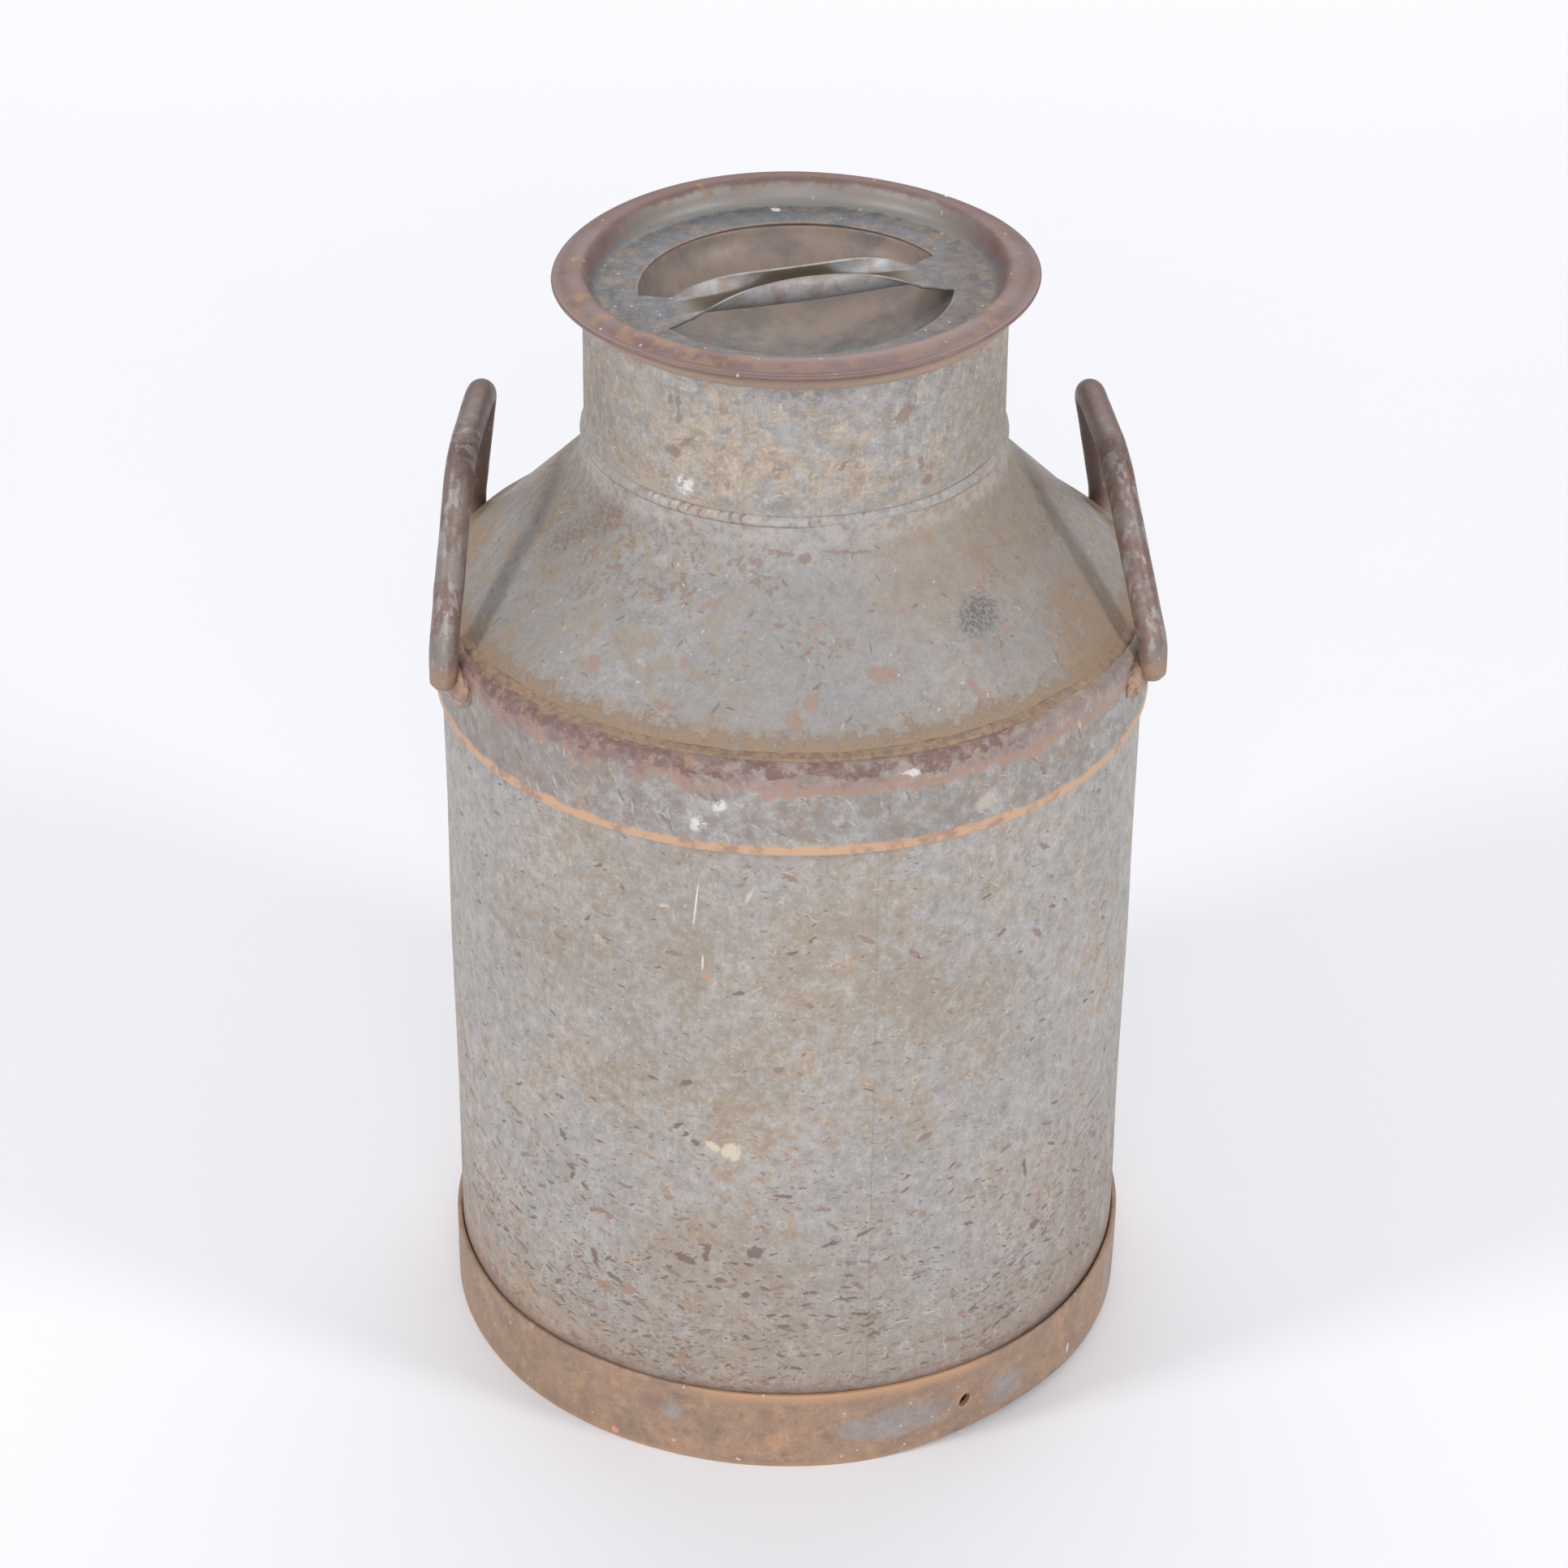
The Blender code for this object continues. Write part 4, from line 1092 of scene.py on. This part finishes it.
def make_neck():
    """The neck tube with its rolled mouth, and the weld that fills the step at its foot."""
    low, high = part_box("neck")
    outer = 99.6 * MM
    inner = outer - THIN_SHEET
    bead = 3.3 * MM
    bead_height = 568 * MM
    roll = arc(inner + bead, bead_height, bead, -125, 180, 22)
    profile = fine([*roll, (inner, low.z)])
    neck = thicken(turned("neck_tube", profile, dented(0.35 * MM, 60 * MM, 13)), THIN_SHEET, 1)
    settle(neck, neck_finish(), "can", "galvanised_steel", "neck")
    low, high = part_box("neck_weld")
    foot = low.z - 1.2 * MM
    section = [
        (outer - 0.3 * MM, high.z + 1.2 * MM),
        (outer + 0.5 * MM, high.z + 0.2 * MM),
        (101.5 * MM, foot + 2.4 * MM),
        (101.75 * MM, foot + 1 * MM),
        (101.5 * MM, foot - 0.4 * MM),
        (100 * MM, foot),
    ]

    def rippled(azimuth, radius, height):
        ripple = math.cos(azimuth * NECK_WELD_RIPPLES + 0.8 * (height - foot) / MM)
        return radius + 0.05 * MM * ripple * (radius > outer), height

    azimuths = [math.tau * i / NECK_WELD_STEPS for i in range(NECK_WELD_STEPS)]
    ring = turned("neck_ring_weld", section, rippled, closed=True, azimuths=azimuths)
    settle(ring, neck_weld_finish(), "can", "weld_metal", "neck_weld")


def make_shoulder_hoop():
    low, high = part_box("shoulder_hoop")
    outer = high.x
    inner = outer - HOOP
    roll = 6 * MM
    round_from = high.z - roll
    worn = 0.6 * MM
    section = [
        *arc(outer - roll, round_from, roll, 90, 0, 12),
        *fine([(outer, round_from), (outer, low.z + worn)])[1:-1],
        *arc(outer - worn, low.z + worn, worn, 0, -90, 3),
        (inner, low.z),
        *fine([(inner, low.z + worn), (inner, round_from)])[1:-1],
        (inner - 1.2 * MM, round_from + 3 * MM),
    ]

    def shape(azimuth, radius, height):
        sway = noise.noise(Vector((math.sin(azimuth) * 4, math.cos(azimuth) * 4, height * 8)))
        return radius + 0.3 * MM * sway, height + 0.5 * MM * sway

    hoop = turned("shoulder_hoop_ring", section, shape, closed=True)
    settle(hoop, band_finish(), "can", "rusted_steel", "shoulder_hoop")


def handle_path(side, *measures):
    """Centre line of a handle: two legs that close in, round corners and a flat top."""
    foot_span, top_span, top, bend, front_lean, rear_lean = [m * MM for m in measures[:-1]]
    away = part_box("shoulder_hoop")[1].x + GAP + HANDLE_RADIUS
    foot_x = math.sqrt(away**2 - foot_span**2)
    closing = math.atan2(foot_span - top_span, top - HANDLE_BEND)
    reach = bend * math.tan((math.pi / 2 - closing) / 2)
    corner = arc(top_span - reach, top - bend, bend, math.degrees(closing), 90, 14)
    half = [(foot_span, HANDLE_FOOT), (foot_span, HANDLE_BEND), *corner]
    outline = fine([*half, *[(-y, z) for y, z in reversed(half)]], HANDLE_STEP)
    turn = Matrix.Rotation(side * math.radians(measures[-1]), 3, "Z")
    points = []
    for y, z in outline:
        rise = max(0.0, z - HANDLE_BEND) / (top - HANDLE_BEND)
        rearward = min(1.0, max(0.0, (y / top_span + 1) / 2))
        lean = front_lean + (rear_lean - front_lean) * rearward
        points.append(turn @ Vector((side * (foot_x - lean * rise), y, z)))
    for _ in range(6):
        eased = [(a + b * 2 + c) / 4 for a, b, c in zip(points, points[1:], points[2:])]
        points = [points[0], *eased, points[-1]]
    return points


def make_handle(side_name, material, weld):
    side = HANDLES[side_name][0]
    path = handle_path(*HANDLES[side_name])
    length = (len(path) - 1) * HANDLE_STEP

    def section(share):
        end = min(share, 1 - share) * length
        blunt = 0.72 + 0.28 * smooth_between(end, 0, 3 * MM)
        wear = 1 + 0.03 * noise.noise(Vector((share * 14, side * 5, 0)))
        return HANDLE_RADIUS * blunt * wear, HANDLE_RADIUS * blunt * wear

    bar = swept(side_name + "_bar", path, section)
    settle(bar, material, "can", "handle_steel", side_name + "_handle")
    for end_name in ("front", "rear"):
        make_lump(f"{side_name}_{end_name}_foot_weld", f"{side_name}_handle_{end_name}_weld", weld)


def make_lump(name, node, weld):
    """A rough fillet of weld round the foot of a handle leg."""
    low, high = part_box(node)
    centre = (low + high) / 2
    bpy.ops.mesh.primitive_ico_sphere_add(subdivisions=5, radius=1)
    lump = bpy.context.active_object
    lump.name = lump.data.name = name
    azimuth = math.atan2(centre.x, -centre.y)
    middle = centre - MM * Vector((math.sin(azimuth), -math.cos(azimuth), 0))
    turn = Matrix.Rotation(azimuth, 3, "Z")
    half_sizes = Vector((14.5 * MM, 5.2 * MM, (high.z - low.z) * 0.54))
    for vertex in lump.data.vertices:
        rough = 1 + 0.16 * noise.noise(vertex.co * 2.2 + centre * 90)
        rough += 0.08 * noise.noise(vertex.co * 7 + centre * 50)
        vertex.co = middle + turn @ (vertex.co * half_sizes * rough)
    lump.data.shade_smooth()
    settle(lump, weld, "can", "weld_metal", node)


def lid_lean(azimuth, radius, height):
    """Where a point of the lid lies once the lid sits askew."""
    x, y = radius * math.sin(azimuth), -radius * math.cos(azimuth)
    height += x * LID_RIGHT_LIFT - y * LID_FRONT_LIFT
    rim = smooth_between(radius, 92 * MM, 112 * MM)
    height += rim * RIM_WARP * math.cos(3 * (azimuth - RIM_WARP_AZIMUTH))
    height += rim * RIM_TWIST * math.cos(2 * (azimuth - RIM_TWIST_AZIMUTH))
    return radius, height


def lid_azimuths(strip):
    """Even azimuths, with those of the strip's two ends added."""
    return sorted({round(a % math.tau, 9) for a in [*EVEN, *strip]})


def cover_profile():
    """The cover's upper face, from the edge of the hand hole out to under the rolled rim."""
    rim = arc(*RIM_BEAD, -140, 75, 12)
    crown = millimetres(
        (111.5, 575.6), (109.2, 577.1), (107.0, 578.3), (104.8, 579.0), (102.8, 579.2),
        (100.8, 579.0), (99.2, 578.2), (98.0, 576.7), (96.9, 573.4), (96.0, 571.0),
        (94.8, 569.0), (93.0, 567.7), (90.5, 567.1), (86.0, 567.0), (80.0, 567.0),
        (76.0, 567.0), (74.2, 567.0), (73.5, 566.9),
    )
    return list(reversed(fine([*rim, *crown], edge=0.2 * MM)))


def grip_point(along, edge_side):
    """A point of the strip: along from -1 to 1, edge_side its distance across at the end."""
    across = (edge_side - GRIP_OFFSET) / GRIP_END_HALF_WIDTH
    rolled = max(0.0, 1 - (along / 0.8) ** 2) ** 0.8
    flare = smooth_between(abs(along), 0.74, 1.0) ** 1.5
    flat_width = GRIP_WAIST_HALF_WIDTH + (GRIP_END_HALF_WIDTH - GRIP_WAIST_HALF_WIDTH) * flare
    half_width = flat_width + (GRIP_ROLL_RADIUS * GRIP_ROLL_ANGLE - flat_width) * rolled
    angle = max(GRIP_ROLL_ANGLE * rolled, 0.001)
    bend = half_width / angle
    turned_by = angle * across
    side = bend * math.sin(turned_by) + GRIP_OFFSET
    lift = bend * (1 - math.cos(turned_by)) - GRIP_DROP * rolled
    reach = math.sqrt(HAND_HOLE**2 - edge_side**2)
    turn = math.radians(GRIP_ANGLE)
    x, y = along * reach, side
    return (
        x * math.cos(turn) - y * math.sin(turn),
        x * math.sin(turn) + y * math.cos(turn),
        PLATE + lift,
    )


def make_cover(material):
    """The cover and its grip as one sheet: the strip's ends run into the plate."""
    first, last = -20.0, 10.0
    inner = [first + 0.35, *[first + 1.25 * i for i in range(1, 24)], last - 0.35]
    ends = [first, *inner, last]
    right_end, left_end = [], []
    for angle in ends:
        right_end.append(math.radians(90 + GRIP_ANGLE + angle) % math.tau)
        left_end.append(math.radians(270 + GRIP_ANGLE - angle) % math.tau)
    azimuths = lid_azimuths([*right_end, *left_end])
    cover = turned("lid_cover_sheet", cover_profile(), lid_lean, azimuths=azimuths)
    mesh = bmesh.new()
    mesh.from_mesh(cover.data)
    mesh.verts.ensure_lookup_table()
    rows = len(mesh.verts) // len(azimuths)
    edge = [mesh.verts[i * rows] for i in range(len(azimuths))]

    def rim_vertex(azimuth):
        nearest = min(range(len(azimuths)), key=lambda i: abs(azimuths[i] - azimuth))
        return edge[nearest]

    stations = 72
    strip = []
    for i in range(stations + 1):
        along = 2 * i / stations - 1
        row = []
        for j, angle in enumerate(ends):
            if i == 0:
                row.append(rim_vertex(left_end[j]))
            elif i == stations:
                row.append(rim_vertex(right_end[j]))
            else:
                side = HAND_HOLE * math.sin(math.radians(angle))
                x, y, z = grip_point(along, side)
                _, z = lid_lean(math.atan2(x, -y), math.hypot(x, y), z)
                row.append(mesh.verts.new((x, y, z)))
        strip.append(row)
    for i in range(stations):
        for j in range(len(ends) - 1):
            corners = (strip[i][j], strip[i + 1][j], strip[i + 1][j + 1], strip[i][j + 1])
            face = mesh.faces.new(corners)
            face.smooth = True
    mesh.to_mesh(cover.data)
    mesh.free()
    thicken(cover, LID_SHEET, even=False)
    settle(cover, material, "lid", "galvanised_steel", "lid_cover")


def make_lid(weld, wire, rubber, plug_metal):
    """The cover, hand bowl, plug skirt, ring weld and rim wire, and the rubber ring under them."""
    make_cover(lid_finish())
    low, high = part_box("lid_bowl")
    mouth = 74.3 * MM
    depth = high.z - low.z
    dish = []
    for i in range(1, 30):
        angle = math.radians(90 * i / 30)
        dish.append((mouth * math.cos(angle), high.z - depth * math.sin(angle)))
    profile = [(high.x, high.z), (mouth + 0.4 * MM, high.z), *dish, (0, low.z)]
    bowl = thicken(turned("lid_hand_bowl", profile, lid_lean), LID_SHEET, 1)
    settle(bowl, bowl_finish(), "lid", "galvanised_steel", "lid_bowl")
    low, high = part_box("lid_plug")
    radius = high.x
    profile = fine(
        [
            (85.4 * MM, high.z),
            (radius - 6.4 * MM, high.z),
            (radius - 2.6 * MM, high.z - 0.4 * MM),
            (radius - 0.6 * MM, high.z - 1.8 * MM),
            (radius, high.z - 4.2 * MM),
            (radius, low.z + 5 * MM),
            (radius - 1.5 * MM, low.z),
        ]
    )
    plug = thicken(turned("lid_plug_skirt", profile, lid_lean), LID_SHEET)
    settle(plug, plug_metal, "lid", "galvanised_steel", "lid_plug")
    low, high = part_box("lid_weld")
    bead = (high.z - low.z) / 2
    middle = (low.z + high.z) / 2
    ring = ring_bead("lid_ring_weld", high.x - bead, middle, bead, 0.1, lid_lean)
    settle(ring, weld, "lid", "weld_metal", "lid_weld")
    radius, height, _ = RIM_BEAD
    ring = ring_bead("lid_rim_core", radius - 0.1 * MM, height, 0.3 * MM, shape=lid_lean)
    settle(ring, wire, "lid", "steel_wire", "lid_rim_wire")
    low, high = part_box("lid_seal")
    section = [
        *arc(high.x - 1.5 * MM, high.z - 3 * MM, 1.5 * MM, 90, 0, 4),
        (high.x, low.z),
        (99.3 * MM, low.z),
        *arc(100.5 * MM, high.z - 3 * MM, 1.5 * MM, 180, 90, 4),
    ]
    seal = turned("lid_seal_ring", section, closed=True)
    settle(seal, rubber, "seal", "rubber", "lid_seal")


def make_mouth_wire(wire):
    """The wire inside the rolled mouth stays as the frame has it, with its own finish."""
    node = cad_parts["mouth_wire"]
    for slot in node.material_slots:
        slot.material = wire


# ---------------------------------------------------------------- stage


def make_floor():
    bpy.ops.mesh.primitive_plane_add(size=14)
    floor = bpy.context.active_object
    floor.name = "studio_floor"
    paper = bpy.data.materials.new("studio_paper")
    paper.use_nodes = True
    surface = paper.node_tree.nodes["Principled BSDF"]
    surface.inputs["Base Color"].default_value = (0.90, 0.90, 0.935, 1)
    surface.inputs["Roughness"].default_value = 0.9
    floor.data.materials.append(paper)


def add_light(name, place, aim, size, power):
    light = bpy.data.lights.new(name, "AREA")
    light.shape = "RECTANGLE"
    light.size, light.size_y = size
    light.energy = power
    lamp = bpy.data.objects.new(name, light)
    bpy.context.scene.collection.objects.link(lamp)
    lamp.location = place
    lamp.rotation_euler = (Vector(aim) - Vector(place)).to_track_quat("-Z", "Y").to_euler()


def light_stage():
    aim = (0, 0, 0.3)
    add_light("soft_box_left", (-1.9, -1.0, 1.8), aim, (0.45, 0.6), 20.5)
    add_light("soft_box_right", (1.9, -1.0, 1.8), aim, (0.45, 0.6), 18.5)
    add_light("soft_box_front", (0.1, -2.9, 1.3), aim, (1.4, 1.0), 25)
    add_light("soft_box_back", (0, 3.6, 3.2), (0, 3.0, 0), (6, 3), 125)
    world = bpy.data.worlds.new("studio_air")
    world.use_nodes = True
    air = world.node_tree.nodes["Background"]
    air.inputs["Color"].default_value = (0.97, 0.98, 1.0, 1)
    air.inputs["Strength"].default_value = 0.43
    scene = bpy.context.scene
    scene.world = world
    scene.view_settings.view_transform = "Standard"


def add_camera():
    camera = bpy.data.cameras.new("photo_camera")
    camera.sensor_width = 36
    camera.lens = 96.9
    camera.clip_start = 0.1
    camera.clip_end = 60
    mount = bpy.data.objects.new("photo_camera", camera)
    bpy.context.scene.collection.objects.link(mount)
    mount.location = (0, -1.7886, 1.4084)
    pitch = math.radians(90 - 31.918)
    turn = Matrix.Rotation(math.radians(0.109), 4, "Z") @ Matrix.Rotation(pitch, 4, "X")
    roll = Matrix.Rotation(math.radians(0.538), 4, "Z")
    mount.rotation_euler = (turn @ roll).to_euler()
    bpy.context.scene.camera = mount


def build():
    weld = weld_finish("weld_metal_rough", (0.40, 0.31, 0.25), BROWN, 200)
    barrel_metal = barrel_finish()
    foot_weld = weld_finish("foot_weld_rust", (0.46, 0.30, 0.21), BROWN, 210)
    wire = wire_finish()
    make_barrel(barrel_metal)
    make_barrel_seam(barrel_metal)
    make_bottom(plain_zinc("aged_zinc_bottom", 220), weld)
    make_foot_hoop()
    make_shoulder(weld_finish("shoulder_weld_dirt", (0.35, 0.25, 0.165), (0.27, 0.175, 0.135), 205))
    make_neck()
    make_shoulder_hoop()
    make_handle("left", bar_finish("bar_patina_left", 230, 0.6), foot_weld)
    make_handle("right", bar_finish("bar_patina_right", 250, 0.35), foot_weld)
    make_lid(weld, wire, rubber_finish(), plain_zinc("aged_zinc_plug", 270, 0.8))
    make_mouth_wire(wire)
    make_floor()
    light_stage()
    add_camera()


build()
